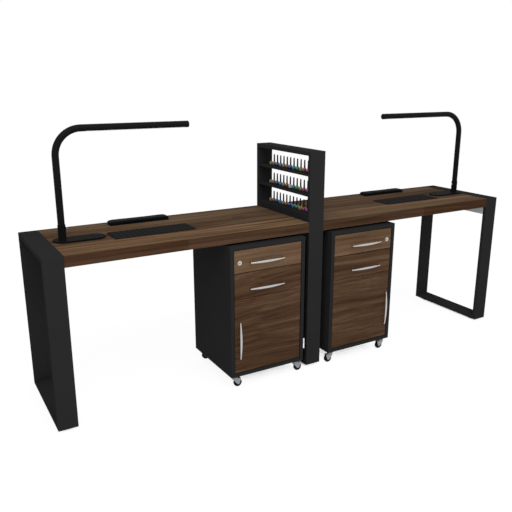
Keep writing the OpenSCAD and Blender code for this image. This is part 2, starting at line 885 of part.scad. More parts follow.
module cabinet(side) {
    half = ped_w / 2;
    color(graphite) at_pedestal(side) difference() {
        union() {
            block([-half, ped_front, ped_low], [half, ped_back, inside_low]);
            block([-half, ped_front, inside_top], [half, ped_back, ped_top]);
            block([-half, ped_front, inside_low], [-inside_half, ped_back, inside_top]);
            block([inside_half, ped_front, inside_low], [half, ped_back, inside_top]);
            block([-inside_half, ped_back - back_t, inside_low],
                [inside_half, ped_back, inside_top]);
            block([-inside_half, divider_front, divider_mid - divider_t / 2],
                [inside_half, ped_back - back_t, divider_mid + divider_t / 2]);
        }
        at_casters() plate_screws(fit_gap);
    }
}

// The fixed half of a runner, on the pedestal's right side, at the given level
module fixed_runner(low) {
    y0 = face_back + front_gap;
    y1 = face_back + box_d;
    x1 = inside_half;
    block([x1 - runner_t, y0, low], [x1, y1, low + runner_h]);
    for (z = [low, low + runner_h - runner_t])
        block([x1 - runner_t - runner_flange, y0, z], [x1, y1, z + runner_t]);
}

// The moving halves of a drawer's two runners, on the box's sides
module moving_runners(low) {
    y0 = face_back + front_gap;
    y1 = face_back + box_d;
    z0 = low + runner_t + end_gap;
    z1 = low + runner_h - runner_t - end_gap;
    for (sx = [-1, 1]) scale_x(sx) {
        block([box_half, y0, z0], [box_half + runner_t, y1, z1]);
        for (z = [z0, z1 - runner_t])
            block([box_half, y0, z], [inside_half - runner_t - end_gap, y1, z + runner_t]);
    }
}

function runner_low(front_low) = front_low + box_rise + runner_rise;

module cabinet_hardware(side) {
    color(light_steel) at_pedestal(side) {
        for (z = [runner_low(top_front_low), runner_low(lower_front_low)], sx = [-1, 1])
            scale_x(sx) fixed_runner(z);
        lock_keeper();
        hinge_plates();
        at_casters() {
            caster_plate();
            plate_screws(0);
        }
    }
}

// One drawer box: two sides, a back and a bottom, fixed to the back of the drawer's front
module drawer_box(side, front_low, box_h) {
    low = front_low + box_rise;
    y1 = face_back + box_d;
    in_half = box_half - box_t;
    color(box_grey) at_pedestal(side) {
        for (sx = [-1, 1]) scale_x(sx)
            block([in_half, face_back, low], [box_half, y1, low + box_h]);
        block([-in_half, y1 - box_t, low], [in_half, y1, low + box_h]);
        block([-in_half, face_back, low + floor_rise],
            [in_half, y1 - box_t, low + floor_rise + box_floor_t]);
    }
}

module handle_screw_holes() {
    for (sx = [-1, 1]) translate([sx * foot_x, face_y - cut, 0])
        rod_y(handle_screw_d + 2 * fit_gap, front_t + 2 * cut);
}

module top_drawer_front(side) {
    color(walnut) at_pedestal(side) difference() {
        block([-front_half, face_y, top_front_low], [front_half, face_back, top_front_top]);
        translate([handle_shift, 0, top_handle_z]) handle_screw_holes();
        translate([lock_x, face_y - cut, lock_z])
            rod_y(lock_body_d + 2 * fit_gap, front_t + 2 * cut);
    }
}

module lower_drawer_front(side) {
    color(walnut) at_pedestal(side) difference() {
        block([-front_half, face_y, lower_front_low], [front_half, face_back, lower_front_top]);
        translate([handle_shift, 0, lower_handle_z]) handle_screw_holes();
    }
}

module door(side) {
    color(walnut) at_pedestal(side) difference() {
        block([-front_half, face_y, door_low], [front_half, face_back, door_top]);
        translate([door_handle_x, 0, door_handle_z]) rotate([0, 90, 0]) handle_screw_holes();
        for (z = [door_low - cut, door_top - pin_grip - end_gap])
            translate([pin_x, pin_y, z])
                cylinder(d = pin_d + 2 * run_gap, h = pin_grip + end_gap + cut);
    }
}

// A bow handle along X, with its feet on the front's face at the given place. The strap
// is an arc seen from above and swells towards its middle seen from the front.
module bow_handle() {
    difference() {
        union() {
            intersection() {
                translate([0, face_y - handle_bow + bow_r, -strap_mid]) difference() {
                    cylinder(r = bow_r, h = 2 * strap_mid, $fn = 200);
                    translate([0, 0, -cut])
                        cylinder(r = bow_r - strap_t, h = 2 * strap_mid + 2 * cut, $fn = 200);
                }
                block([-handle_l / 2, face_y - handle_bow - cut, -strap_mid],
                    [handle_l / 2, face_y, strap_mid]);
                for (way = [-1, 1])
                    translate([0, face_y - handle_bow - cut, way * (swell_r - strap_mid / 2)])
                        rod_y(2 * swell_r, handle_bow + 2 * cut);
            }
            for (sx = [-1, 1]) translate([sx * foot_x, face_y - foot_h, 0])
                rod_y(foot_d, foot_h);
        }
        for (sx = [-1, 1]) translate([sx * foot_x, face_y - foot_h / 2, 0])
            rod_y(handle_screw_d + 2 * fit_gap, foot_h);
    }
    for (sx = [-1, 1]) {
        translate([sx * foot_x, face_y - foot_h / 2 + end_gap, 0])
            rod_y(handle_screw_d, foot_h / 2 - end_gap + front_t);
        translate([sx * foot_x, face_back, 0]) rod_y(2 * handle_screw_d, handle_screw_d / 2);
    }
}

// The lock's housing: a round face on the drawer front and a sleeve through it
module lock_housing() {
    difference() {
        union() {
            translate([0, face_y - lock_face_t, 0]) rod_y(lock_face_d, lock_face_t);
            translate([0, face_y, 0]) rod_y(lock_body_d, front_t);
        }
        translate([0, face_y - lock_face_t - cut, 0])
            rod_y(lock_barrel_d + 2 * run_gap, lock_face_t + front_t + 2 * cut);
    }
}

module top_drawer_fittings(side) {
    color(bright_steel) at_pedestal(side) {
        translate([handle_shift, 0, top_handle_z]) bow_handle();
        translate([lock_x, 0, lock_z]) lock_housing();
        moving_runners(runner_low(top_front_low));
    }
}

module lower_drawer_fittings(side) {
    color(bright_steel) at_pedestal(side) {
        translate([handle_shift, 0, lower_handle_z]) bow_handle();
        moving_runners(runner_low(lower_front_low));
    }
}

// The turning barrel with its key slot, and the cam behind the drawer front. The cam lies
// towards the pedestal's middle when the drawer is free, and stands up behind the keeper
// when it is locked.
cam_y = face_back + end_gap + keeper_t + end_gap;

module lock_barrel(side) {
    color(bright_steel) at_pedestal(side) translate([lock_x, 0, lock_z]) {
        difference() {
            translate([0, face_y - lock_face_t - 0.5, 0])
                rod_y(lock_barrel_d, cam_y + cam_t - face_y + lock_face_t + 0.5);
            block([-key_slot_w / 2, face_y - lock_face_t - cut, -key_slot_l / 2],
                [key_slot_w / 2, face_y, key_slot_l / 2]);
        }
        block([-cam_l, cam_y, -cam_w / 2], [0, cam_y + cam_t, cam_w / 2]);
    }
}

// A plate that hangs behind the top drawer's front, bent forward under the top board
module lock_keeper() {
    x0 = lock_x - keeper_w / 2;
    x1 = lock_x + keeper_w / 2;
    y1 = face_back + end_gap + keeper_t;
    block([x0, face_back + end_gap, inside_top - keeper_h], [x1, y1, inside_top]);
    block([x0, y1 - front_t / 2, inside_top - keeper_t], [x1, y1, inside_top]);
}

// Door hinges: a plate over the door and one under it, each with an upright pin that
// stands in the door. The upper plate is bent up against the divider's front edge, and the
// lower one lies on the bottom board and carries the door on a shoulder round its pin.
module hinge_plates() {
    plate_x = pin_x + hinge_plate_rim;
    plate_y = pin_y - hinge_plate_rim;
    block([-inside_half, plate_y, upper_plate_z],
        [plate_x, divider_front, upper_plate_z + hinge_plate_t]);
    block([-inside_half, divider_front - hinge_plate_t, upper_plate_z],
        [plate_x, divider_front, divider_mid + divider_t / 2]);
    translate([pin_x, pin_y, door_top - pin_grip])
        cylinder(d = pin_d, h = pin_grip + upper_plate_z - door_top + hinge_plate_t);
    block([-inside_half, plate_y, inside_low],
        [plate_x, face_back + hinge_plate_l, inside_low + hinge_plate_t]);
    translate([pin_x, pin_y, inside_low])
        cylinder(d = 2 * hinge_plate_rim - 2, h = front_gap - end_gap);
    translate([pin_x, pin_y, inside_low]) cylinder(d = pin_d, h = front_gap + pin_grip);
}

module door_handle(side) {
    color(bright_steel) at_pedestal(side)
        translate([door_handle_x, 0, door_handle_z]) rotate([0, 90, 0]) bow_handle();
}

// Casters, drawn about their upright axis and trailing towards -X

caster_xs = [-(ped_w / 2 - caster_side), ped_w / 2 - caster_side];
caster_ys = [ped_front + caster_front, ped_back - caster_front];

module at_casters() {
    for (x = caster_xs, y = caster_ys) translate([x, y, 0]) children();
}

// Four screws through a caster's plate into the bottom board, or their holes
module plate_screws(gap) {
    reach = plate_w / 2 - plate_screw_edge;
    for (sx = [-1, 1], sy = [-1, 1]) translate([sx * reach, sy * reach, 0]) {
        translate([0, 0, caster_h - plate_t - fit_gap])
            cylinder(d = plate_screw_d + 2 * gap, h = fit_gap + plate_t + plate_screw_grip + gap);
        translate([0, 0, caster_h - plate_t - fit_gap - plate_head_h])
            cylinder(d = plate_head_d, h = plate_head_h);
    }
}

module caster_plate() {
    difference() {
        union() {
            translate([-plate_w / 2, -plate_w / 2, caster_h - plate_t])
                cube([plate_w, plate_w, plate_t]);
            translate([0, 0, race_low]) cylinder(d = race_d, h = race_h + plate_t / 2);
        }
        translate([0, 0, race_low - cut])
            cylinder(d = kingpin_d + 2 * run_gap, h = race_h + plate_t + 2 * cut);
        plate_screws(fit_gap);
    }
}

module at_caster(side, lane, end) {
    at_pedestal(side) translate([
        lane == inner ? caster_xs[0] : caster_xs[1],
        end == front ? caster_ys[0] : caster_ys[1], 0]) children();
}

// Outline of a cheek in X and Z: a wedge from the roof down to its end round the axle
roof_front = 9;
roof_back = -trail - 13;
wedge_top = roof_low - 6;
axle_rim = 7;
cheek_outline = [
    [roof_front, roof_low + cheek_t], [roof_front, wedge_top],
    [axle_rim - trail, wheel_r - axle_rim / 2], [axle_rim / 2 - trail, wheel_r - axle_rim],
    [-axle_rim / 2 - trail, wheel_r - axle_rim], [-axle_rim - trail, wheel_r - axle_rim / 2],
    [roof_back, wedge_top], [roof_back, roof_low + cheek_t]
];

module caster_fork(side, lane, end) {
    color(light_steel) at_caster(side, lane, end) {
        difference() {
            union() {
                for (sy = [-1, 1])
                    translate([0, sy * (cheek_in + cheek_t / 2) + cheek_t / 2, 0])
                        rotate([90, 0, 0]) linear_extrude(cheek_t) polygon(cheek_outline);
                block([roof_back, -cheek_out, roof_low],
                    [roof_front, cheek_out, roof_low + cheek_t]);
                translate([0, 0, roof_low])
                    cylinder(d = race_d, h = race_low - end_gap - roof_low);
                translate([0, 0, roof_low])
                    cylinder(d = kingpin_d, h = caster_h - end_gap - roof_low);
            }
            translate([-trail, -cheek_out - cut, wheel_r])
                rod_y(axle_d + 2 * fit_gap, 2 * cheek_out + 2 * cut);
        }
        translate([-trail, -cheek_out - cut, wheel_r]) rod_y(axle_d, 2 * cheek_out + 2 * cut);
    }
}

module caster_wheel(side, lane, end) {
    half = wheel_w / 2;
    color(rubber_black) at_caster(side, lane, end)
        translate([-trail, 0, wheel_r]) rotate([90, 0, 0]) rotate_extrude() {
            polygon([
                [axle_d / 2 + run_gap, -half], [axle_d, -half],
                [axle_d + wheel_dish, -half + wheel_dish],
                [wheel_r - 3 * wheel_round, -half + wheel_dish],
                [wheel_r - 2 * wheel_round, -half], [wheel_r - wheel_round, -half],
                [wheel_r - wheel_round * 0.3, -half + wheel_round * 0.3],
                [wheel_r, -half + wheel_round], [wheel_r, half - wheel_round],
                [wheel_r - wheel_round * 0.3, half - wheel_round * 0.3],
                [wheel_r - wheel_round, half], [wheel_r - 2 * wheel_round, half],
                [wheel_r - 3 * wheel_round, half - wheel_dish],
                [axle_d + wheel_dish, half - wheel_dish],
                [axle_d, half], [axle_d / 2 + run_gap, half]
            ]);
        }
}

end_frames();
centre_frame();
desktop(left);  // left_desktop
desktop(right);  // right_desktop
support_rails();
table_fasteners();
floor_glides();
display_shelves();
polish_bottles();
bottle_caps();
lamp_bases();
lamp_arm(left);  // left_lamp_arm
lamp_diffuser(left);  // left_lamp_diffuser
lamp_switch(left);  // left_lamp_switch
lamp_arm(right);  // right_lamp_arm
lamp_diffuser(right);  // right_lamp_diffuser
lamp_switch(right);  // right_lamp_switch
hand_rest(left);  // left_hand_rest
hand_rest(right);  // right_hand_rest
hand_rest_boards();
work_mats();
cabinet(left);  // left_cabinet
cabinet_hardware(left);  // left_cabinet_hardware
drawer_box(left, top_front_low, top_box_h);  // left_top_drawer_box
top_drawer_front(left);  // left_top_drawer_front
top_drawer_fittings(left);  // left_top_drawer_fittings
lock_barrel(left);  // left_lock_barrel
drawer_box(left, lower_front_low, lower_box_h);  // left_lower_drawer_box
lower_drawer_front(left);  // left_lower_drawer_front
lower_drawer_fittings(left);  // left_lower_drawer_fittings
door(left);  // left_door
door_handle(left);  // left_door_handle
cabinet(right);  // right_cabinet
cabinet_hardware(right);  // right_cabinet_hardware
drawer_box(right, top_front_low, top_box_h);  // right_top_drawer_box
top_drawer_front(right);  // right_top_drawer_front
top_drawer_fittings(right);  // right_top_drawer_fittings
lock_barrel(right);  // right_lock_barrel
drawer_box(right, lower_front_low, lower_box_h);  // right_lower_drawer_box
lower_drawer_front(right);  // right_lower_drawer_front
lower_drawer_fittings(right);  // right_lower_drawer_fittings
door(right);  // right_door
door_handle(right);  // right_door_handle
caster_fork(left, outer, front);  // left_front_outer_fork
caster_fork(left, inner, front);  // left_front_inner_fork
caster_fork(left, outer, rear);  // left_rear_outer_fork
caster_fork(left, inner, rear);  // left_rear_inner_fork
caster_fork(right, outer, front);  // right_front_outer_fork
caster_fork(right, inner, front);  // right_front_inner_fork
caster_fork(right, outer, rear);  // right_rear_outer_fork
caster_fork(right, inner, rear);  // right_rear_inner_fork
caster_wheel(left, outer, front);  // left_front_outer_wheel
caster_wheel(left, inner, front);  // left_front_inner_wheel
caster_wheel(left, outer, rear);  // left_rear_outer_wheel
caster_wheel(left, inner, rear);  // left_rear_inner_wheel
caster_wheel(right, outer, front);  // right_front_outer_wheel
caster_wheel(right, inner, front);  // right_front_inner_wheel
caster_wheel(right, outer, rear);  // right_rear_outer_wheel
caster_wheel(right, inner, rear);  // right_rear_inner_wheel
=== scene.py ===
import math

import bpy
from mathutils import Matrix, Vector


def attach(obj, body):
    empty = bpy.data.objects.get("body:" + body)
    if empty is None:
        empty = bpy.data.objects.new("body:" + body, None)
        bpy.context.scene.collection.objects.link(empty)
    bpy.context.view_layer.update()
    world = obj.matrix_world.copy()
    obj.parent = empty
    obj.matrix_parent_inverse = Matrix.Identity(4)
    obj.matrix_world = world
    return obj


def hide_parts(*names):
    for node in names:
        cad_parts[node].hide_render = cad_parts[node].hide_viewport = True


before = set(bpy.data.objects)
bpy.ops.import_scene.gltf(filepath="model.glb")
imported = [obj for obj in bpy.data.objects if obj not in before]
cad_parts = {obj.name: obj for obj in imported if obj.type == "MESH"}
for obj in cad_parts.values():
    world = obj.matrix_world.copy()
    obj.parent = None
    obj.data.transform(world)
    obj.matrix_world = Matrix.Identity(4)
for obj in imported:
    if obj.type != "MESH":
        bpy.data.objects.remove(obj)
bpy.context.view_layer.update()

# Camera, solved from the corners of the frames and the desktops in the photo
photoCamera = {
    "place": (-1.68406, -2.55686, 1.39548),
    "turn": 30.011,      # degrees to the right of straight on
    "tip": 15.895,       # degrees down
    "roll": -0.053,
    "lens": 43.22,
    "shift": (0.0013, 0.0001),
}


def makeCamera(spec):
    data = bpy.data.cameras.new("photoCamera")
    data.lens = spec["lens"]
    data.sensor_width = 36
    data.shift_x, data.shift_y = spec["shift"]
    data.clip_end = 60
    camera = bpy.data.objects.new("photoCamera", data)
    bpy.context.scene.collection.objects.link(camera)
    camera.matrix_world = (
        Matrix.Translation(spec["place"])
        @ Matrix.Rotation(math.radians(-spec["turn"]), 4, "Z")
        @ Matrix.Rotation(math.radians(90 - spec["tip"]), 4, "X")
        @ Matrix.Rotation(math.radians(spec["roll"]), 4, "Z")
    )
    bpy.context.scene.camera = camera


makeCamera(photoCamera)
print("camera set")

# Sizes that several pieces share, in metres, as in the CAD source
table = {
    "front": -0.2245, "back": 0.2695,
    "under": 0.702, "top": 0.750,
    "deskNear": 0.0415, "deskFar": 1.1865,
    "frameX": 1.228, "frameHalf": 0.0415, "tube": 0.020, "frameLow": 0.012,
    "displayTop": 1.0821, "gap": 0.0002,
}
sides = {"left": -1, "right": 1}


# Modelling helpers

def freshStart():
    if bpy.context.object and bpy.context.object.mode != "OBJECT":
        bpy.ops.object.mode_set(mode="OBJECT")
    bpy.ops.object.select_all(action="DESELECT")


def takeUp(piece):
    freshStart()
    piece.select_set(True)
    bpy.context.view_layer.objects.active = piece
    return piece


def settle(piece):
    takeUp(piece)
    bpy.ops.object.transform_apply(location=True, rotation=True, scale=True)
    return piece


def addBlock(name, low, high):
    freshStart()
    middle = [(a + b) / 2 for a, b in zip(low, high)]
    bpy.ops.mesh.primitive_cube_add(size=1, location=middle)
    block = bpy.context.object
    block.name = name
    block.scale = [abs(b - a) for a, b in zip(low, high)]
    return settle(block)


def editMode(kind="FACE"):
    bpy.ops.object.mode_set(mode="EDIT")
    bpy.ops.mesh.select_mode(type=kind)


def objectMode():
    bpy.ops.object.mode_set(mode="OBJECT")


def pickAll(piece, kind="FACE"):
    takeUp(piece)
    editMode(kind)
    bpy.ops.mesh.select_all(action="SELECT")


def dropAll(piece, kind):
    takeUp(piece)
    editMode(kind)
    bpy.ops.mesh.select_all(action="DESELECT")
    objectMode()


def pickFaces(piece, test):
    dropAll(piece, "FACE")
    for face in piece.data.polygons:
        face.select = bool(test(face.center, face.normal))
    editMode("FACE")


def pickEdges(piece, test):
    dropAll(piece, "EDGE")
    points = piece.data.vertices
    for edge in piece.data.edges:
        edge.select = bool(test(points[edge.vertices[0]].co, points[edge.vertices[1]].co))
    editMode("EDGE")


def pickPoints(piece, test):
    dropAll(piece, "VERT")
    for point in piece.data.vertices:
        point.select = bool(test(point.co))
    editMode("VERT")


def extrudeBy(x, y, z):
    bpy.ops.mesh.extrude_region_move(TRANSFORM_OT_translate={"value": (x, y, z)})


def bevelEdges(piece, width, segments=2, angle=35):
    takeUp(piece)
    bpy.ops.object.shade_smooth()
    bevel = piece.modifiers.new("roundEdges", "BEVEL")
    bevel.width = width
    bevel.segments = segments
    bevel.limit_method = "ANGLE"
    bevel.angle_limit = math.radians(angle)
    bevel.harden_normals = True
    bpy.ops.object.modifier_apply(modifier=bevel.name)
    return piece


def joinAll(name, pieces):
    takeUp(pieces[0])
    for piece in pieces:
        piece.select_set(True)
    bpy.ops.object.join()
    pieces[0].name = name
    return settle(pieces[0])


def copyPiece(piece, name, shift=(0, 0, 0)):
    twin = piece.copy()
    twin.data = piece.data.copy()
    twin.name = name
    bpy.context.scene.collection.objects.link(twin)
    takeUp(twin)
    twin.location = shift
    return settle(twin)


# Round pieces: rings is a list of (radius, height) up the axis, from a closed bottom
def turnPiece(name, foot, rings, points=32, axis="Z"):
    freshStart()
    bpy.ops.mesh.primitive_circle_add(vertices=points, radius=rings[0][0],
        location=(0, 0, rings[0][1]), fill_type="NGON")
    piece = bpy.context.object
    piece.name = name
    settle(piece)
    pickAll(piece)
    radius, height = rings[0]
    for newRadius, newHeight in rings[1:]:
        extrudeBy(0, 0, newHeight - height)
        ratio = newRadius / radius
        bpy.ops.transform.resize(value=(ratio, ratio, 1), center_override=(0, 0, newHeight))
        radius, height = newRadius, newHeight
    objectMode()
    if axis != "Z":
        turn = {"X": (0, 90, 0), "-X": (0, -90, 0), "Y": (-90, 0, 0), "-Y": (90, 0, 0)}[axis]
        piece.rotation_euler = [math.radians(a) for a in turn]
    piece.location = foot
    settle(piece)
    pickAll(piece)
    bpy.ops.mesh.normals_make_consistent(inside=False)
    objectMode()
    bpy.ops.object.shade_smooth_by_angle(angle=math.radians(35))
    return piece


def finishPiece(piece, body, slot, materials, *nodes):
    takeUp(piece)
    if not isinstance(materials, (list, tuple)):
        materials = [materials]
    if len(piece.data.materials) == 0:
        for material in materials:
            piece.data.materials.append(material)
    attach(piece, body)
    if nodes:
        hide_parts(*nodes)
    return piece


# Material helpers

def addNode(tree, kind, links=None, **settings):
    node = tree.nodes.new(kind)
    for key, value in settings.items():
        if key in node.inputs:
            node.inputs[key].default_value = value
        else:
            setattr(node, key, value)
    for socket, source in (links or {}).items():
        tree.links.new(source, node.inputs[socket])
    return node


def newGroup(name, inputs, outputs):
    group = bpy.data.node_groups.new(name, "ShaderNodeTree")
    kinds = {"v": "NodeSocketVector", "c": "NodeSocketColor", "f": "NodeSocketFloat"}
    for socket, kind in inputs:
        group.interface.new_socket(name=socket, in_out="INPUT", socket_type=kinds[kind])
    for socket, kind in outputs:
        group.interface.new_socket(name=socket, in_out="OUTPUT", socket_type=kinds[kind])
    return group, group.nodes.new("NodeGroupInput"), group.nodes.new("NodeGroupOutput")


def stretched(tree, vector, amounts):
    node = addNode(tree, "ShaderNodeVectorMath", {0: vector}, operation="MULTIPLY")
    node.inputs[1].default_value = amounts
    return node.outputs[0]


def scaled(tree, vector, amount):
    return addNode(tree, "ShaderNodeVectorMath", {0: vector, "Scale": amount}, operation="SCALE").outputs[0]


def noise(tree, vector, scale, detail=2.0, roughness=0.5):
    return addNode(tree, "ShaderNodeTexNoise", {"Vector": vector},
        Scale=scale, Detail=detail, Roughness=roughness).outputs["Fac"]


def remap(tree, value, low, high, toLow=0.0, toHigh=1.0, smooth=True):
    node = addNode(tree, "ShaderNodeMapRange", {"Value": value},
        interpolation_type="SMOOTHSTEP" if smooth else "LINEAR")
    for socket, number in (("From Min", low), ("From Max", high), ("To Min", toLow), ("To Max", toHigh)):
        node.inputs[socket].default_value = number
    return node.outputs["Result"]


def calc(tree, operation, a, b):
    node = addNode(tree, "ShaderNodeMath", operation=operation)
    for index, value in enumerate((a, b)):
        if isinstance(value, (int, float)):
            node.inputs[index].default_value = value
        else:
            tree.links.new(value, node.inputs[index])
    return node.outputs[0]


def blendColor(tree, factor, a, b, kind="MIX"):
    node = addNode(tree, "ShaderNodeMix", data_type="RGBA", blend_type=kind)
    for socket, value in ((0, factor), (6, a), (7, b)):
        if isinstance(value, bpy.types.NodeSocket):
            tree.links.new(value, node.inputs[socket])
        else:
            node.inputs[socket].default_value = value
    return node.outputs[2]


# Walnut figure: the grain runs along X, with fine dark lines over broad soft bands
figureParts = {
    "wander": (1.3, 4.0, 4.0), "broad": (0.6, 11.0, 11.0), "streaks": (1.1, 46.0, 46.0),
    "lines": (2.4, 150.0, 150.0), "fibres": (9.0, 420.0, 420.0), "pores": (38.0, 900.0, 900.0),
    "rings": (0.25, 1.0, 1.0), "ringScale": 14.0, "poreDepth": 0.35, "poreColor": (0.012, 0.007, 0.004, 1.0),
    "poreRange": (0.58, 0.72), "poreRough": 0.12, "lowTones": (0.40, 0.50), "highTones": (0.49, 0.61),
    "roughTones": (0.3, 0.7, 0.66, 0.56),
}
figureShares = {"broad": 0.34, "streaks": 0.36, "lines": 0.22, "fibres": 0.08, "rings": 0.10}


def buildWoodGroup():
    group, given, made = newGroup("walnutFigure",
        (("Vector", "v"), ("Shift", "v"), ("Dark", "c"), ("Middle", "c"), ("Light", "c"),
         ("Rings", "f"), ("Wander", "f")),
        (("Color", "c"), ("Roughness", "f"), ("Height", "f"), ("Streak", "f")))
    place = addNode(group, "ShaderNodeVectorMath",
        {0: given.outputs["Vector"], 1: given.outputs["Shift"]}, operation="ADD").outputs[0]
    wander = addNode(group, "ShaderNodeTexNoise",
        {"Vector": stretched(group, place, figureParts["wander"])}, Scale=1.0, Detail=2.0).outputs["Color"]
    centred = addNode(group, "ShaderNodeVectorMath", {0: wander}, operation="SUBTRACT")
    centred.inputs[1].default_value = (0.5, 0.5, 0.5)
    swing = scaled(group, stretched(group, centred.outputs[0], (0.0, 1.0, 1.0)), given.outputs["Wander"])
    bent = addNode(group, "ShaderNodeVectorMath", {0: place, 1: swing}, operation="ADD").outputs[0]
    layers = {}
    for part, detail, roughness in (("broad", 2.0, 0.5), ("streaks", 3.0, 0.6), ("lines", 2.0, 0.6),
                                    ("fibres", 2.0, 0.6)):
        layers[part] = noise(group, stretched(group, bent, figureParts[part]), 1.0, detail, roughness)
    rings = addNode(group, "ShaderNodeTexWave", {"Vector": stretched(group, bent, figureParts["rings"])},
        wave_type="RINGS", rings_direction="X", wave_profile="SAW",
        Scale=figureParts["ringScale"], Distortion=3.0, Detail=2.0).outputs["Fac"]
    layers["rings"] = calc(group, "MULTIPLY", calc(group, "SUBTRACT", rings, 0.5), given.outputs["Rings"])
    pores = noise(group, stretched(group, place, figureParts["pores"]), 1.0, 1.0)
    pores = remap(group, pores, *figureParts["poreRange"])
    tone = 0.0
    for part, share in figureShares.items():
        tone = calc(group, "ADD", tone, calc(group, "MULTIPLY", layers[part], share))
    lower = blendColor(group, remap(group, tone, *figureParts["lowTones"]), given.outputs["Dark"],
        given.outputs["Middle"])
    upper = blendColor(group, remap(group, tone, *figureParts["highTones"]), lower, given.outputs["Light"])
    poreMask = calc(group, "MULTIPLY", pores, figureParts["poreDepth"])
    color = blendColor(group, poreMask, upper, figureParts["poreColor"])
    group.links.new(color, made.inputs["Color"])
    rough = calc(group, "ADD", remap(group, tone, *figureParts["roughTones"]),
        calc(group, "MULTIPLY", pores, figureParts["poreRough"]))
    group.links.new(rough, made.inputs["Roughness"])
    height = calc(group, "SUBTRACT", calc(group, "MULTIPLY", layers["fibres"], 0.5), pores)
    group.links.new(height, made.inputs["Height"])
    group.links.new(layers["streaks"], made.inputs["Streak"])
    return group


# Fine cured coating, moulded plastic or laminate: a pebbled bump and a slight change of tone
def buildCoatGroup():
    group, given, made = newGroup("fineCoat",
        (("Vector", "v"), ("Grain", "f"), ("Color", "c"), ("Spread", "f"), ("Rough", "f")),
        (("Color", "c"), ("Roughness", "f"), ("Height", "f")))
    pebble = noise(group, scaled(group, given.outputs["Vector"], given.outputs["Grain"]), 1.0, 2.0, 0.6)
    cloud = noise(group, given.outputs["Vector"], 3.0, 3.0, 0.6)
    tone = calc(group, "ADD", calc(group, "MULTIPLY", cloud, 0.7), calc(group, "MULTIPLY", pebble, 0.3))
    gain = calc(group, "MULTIPLY", calc(group, "SUBTRACT", tone, 0.5), given.outputs["Spread"])
    gain = calc(group, "ADD", gain, 1.0)
    group.links.new(scaled(group, given.outputs["Color"], gain), made.inputs["Color"])
    rough = calc(group, "ADD", given.outputs["Rough"],
        calc(group, "MULTIPLY", calc(group, "SUBTRACT", pebble, 0.5), 0.18))
    group.links.new(rough, made.inputs["Roughness"])
    group.links.new(pebble, made.inputs["Height"])
    return group


# Fine drawn lines along one direction, for brushed and plated metal
def buildBrushGroup():
    group, given, made = newGroup("brushedLines",
        (("Vector", "v"), ("Lines", "v"), ("Color", "c"), ("Rough", "f")),
        (("Color", "c"), ("Roughness", "f"), ("Height", "f")))
    drawn = addNode(group, "ShaderNodeVectorMath",
        {0: given.outputs["Vector"], 1: given.outputs["Lines"]}, operation="MULTIPLY").outputs[0]
    lines = noise(group, drawn, 1.0, 3.0, 0.6)
    gain = remap(group, lines, 0.3, 0.7, 0.90, 1.05)
    group.links.new(scaled(group, given.outputs["Color"], gain), made.inputs["Color"])
    rough = calc(group, "ADD", given.outputs["Rough"],
        calc(group, "MULTIPLY", calc(group, "SUBTRACT", lines, 0.5), 0.2))
    group.links.new(rough, made.inputs["Roughness"])
    group.links.new(lines, made.inputs["Height"])
    return group


# Pebbled leather grain with fine creases, sunk by the bump and darkened in colour as painted shade
def buildLeatherGroup():
    group, given, made = newGroup("leatherGrain",
        (("Vector", "v"), ("Color", "c"), ("Crease", "c")),
        (("Color", "c"), ("Roughness", "f"), ("Height", "f")))
    cells = addNode(group, "ShaderNodeTexVoronoi", {"Vector": given.outputs["Vector"]},
        feature="DISTANCE_TO_EDGE", Scale=620.0).outputs["Distance"]
    shadedCrease = remap(group, cells, 0.02, 0.22)
    cloud = noise(group, given.outputs["Vector"], 26.0, 3.0)
    # painted shade: the creases take the darker colour
    base = blendColor(group, shadedCrease, given.outputs["Crease"], given.outputs["Color"])
    group.links.new(scaled(group, base, remap(group, cloud, 0.3, 0.7, 0.85, 1.2)), made.inputs["Color"])
    group.links.new(remap(group, cloud, 0.3, 0.7, 0.50, 0.62), made.inputs["Roughness"])
    group.links.new(shadedCrease, made.inputs["Height"])
    return group


woodGroup = buildWoodGroup()
coatGroup = buildCoatGroup()
brushGroup = buildBrushGroup()
leatherGroup = buildLeatherGroup()


def newMaterial(name):
    material = bpy.data.materials.new(name)
    material.use_nodes = True
    tree = material.node_tree
    tree.nodes.clear()
    shader = tree.nodes.new("ShaderNodeBsdfPrincipled")
    addNode(tree, "ShaderNodeOutputMaterial", {"Surface": shader.outputs[0]})
    where = tree.nodes.new("ShaderNodeTexCoord").outputs["Object"]
    return material, tree, shader, where


def useGroup(tree, group, vector, **values):
    node = tree.nodes.new("ShaderNodeGroup")
    node.node_tree = group
    tree.links.new(vector, node.inputs["Vector"])
    for socket, value in values.items():
        node.inputs[socket].default_value = value
    return node


def rgb(red, green, blue):
    return (red, green, blue, 1.0)


def dress(tree, shader, group, color, spec, strength, distance):
    tree.links.new(color, shader.inputs["Base Color"])
    tree.links.new(group.outputs["Roughness"], shader.inputs["Roughness"])
    for socket, key in (("Specular IOR Level", "gloss"), ("Metallic", "metal")):
        if key in spec:
            shader.inputs[socket].default_value = spec[key]
    bump = addNode(tree, "ShaderNodeBump", {"Height": group.outputs["Height"]}, Strength=strength,
        Distance=distance)
    tree.links.new(bump.outputs[0], shader.inputs["Normal"])


def makeWalnut(name, spec, bands=()):
    material, tree, shader, where = newMaterial(name)
    figure = useGroup(tree, woodGroup, where, Shift=spec["shift"], Dark=rgb(*spec["dark"]),
        Middle=rgb(*spec["middle"]), Light=rgb(*spec["light"]), Rings=spec["rings"], Wander=spec["wander"])
    color = figure.outputs["Color"]
    for band in bands:                         # a tone that changes at one place on the piece
        axis = addNode(tree, "ShaderNodeSeparateXYZ", {0: where}).outputs[band["axis"]]
        wavy = calc(tree, "ADD", axis, calc(tree, "MULTIPLY", figure.outputs["Streak"], band["wave"]))
        mask = remap(tree, wavy, band["low"], band["high"])
        color = blendColor(tree, mask, color,
            blendColor(tree, 1.0, color, band["tint"], "MULTIPLY"))
    dress(tree, shader, figure, color, spec, strength=0.25, distance=0.0004)
    return material
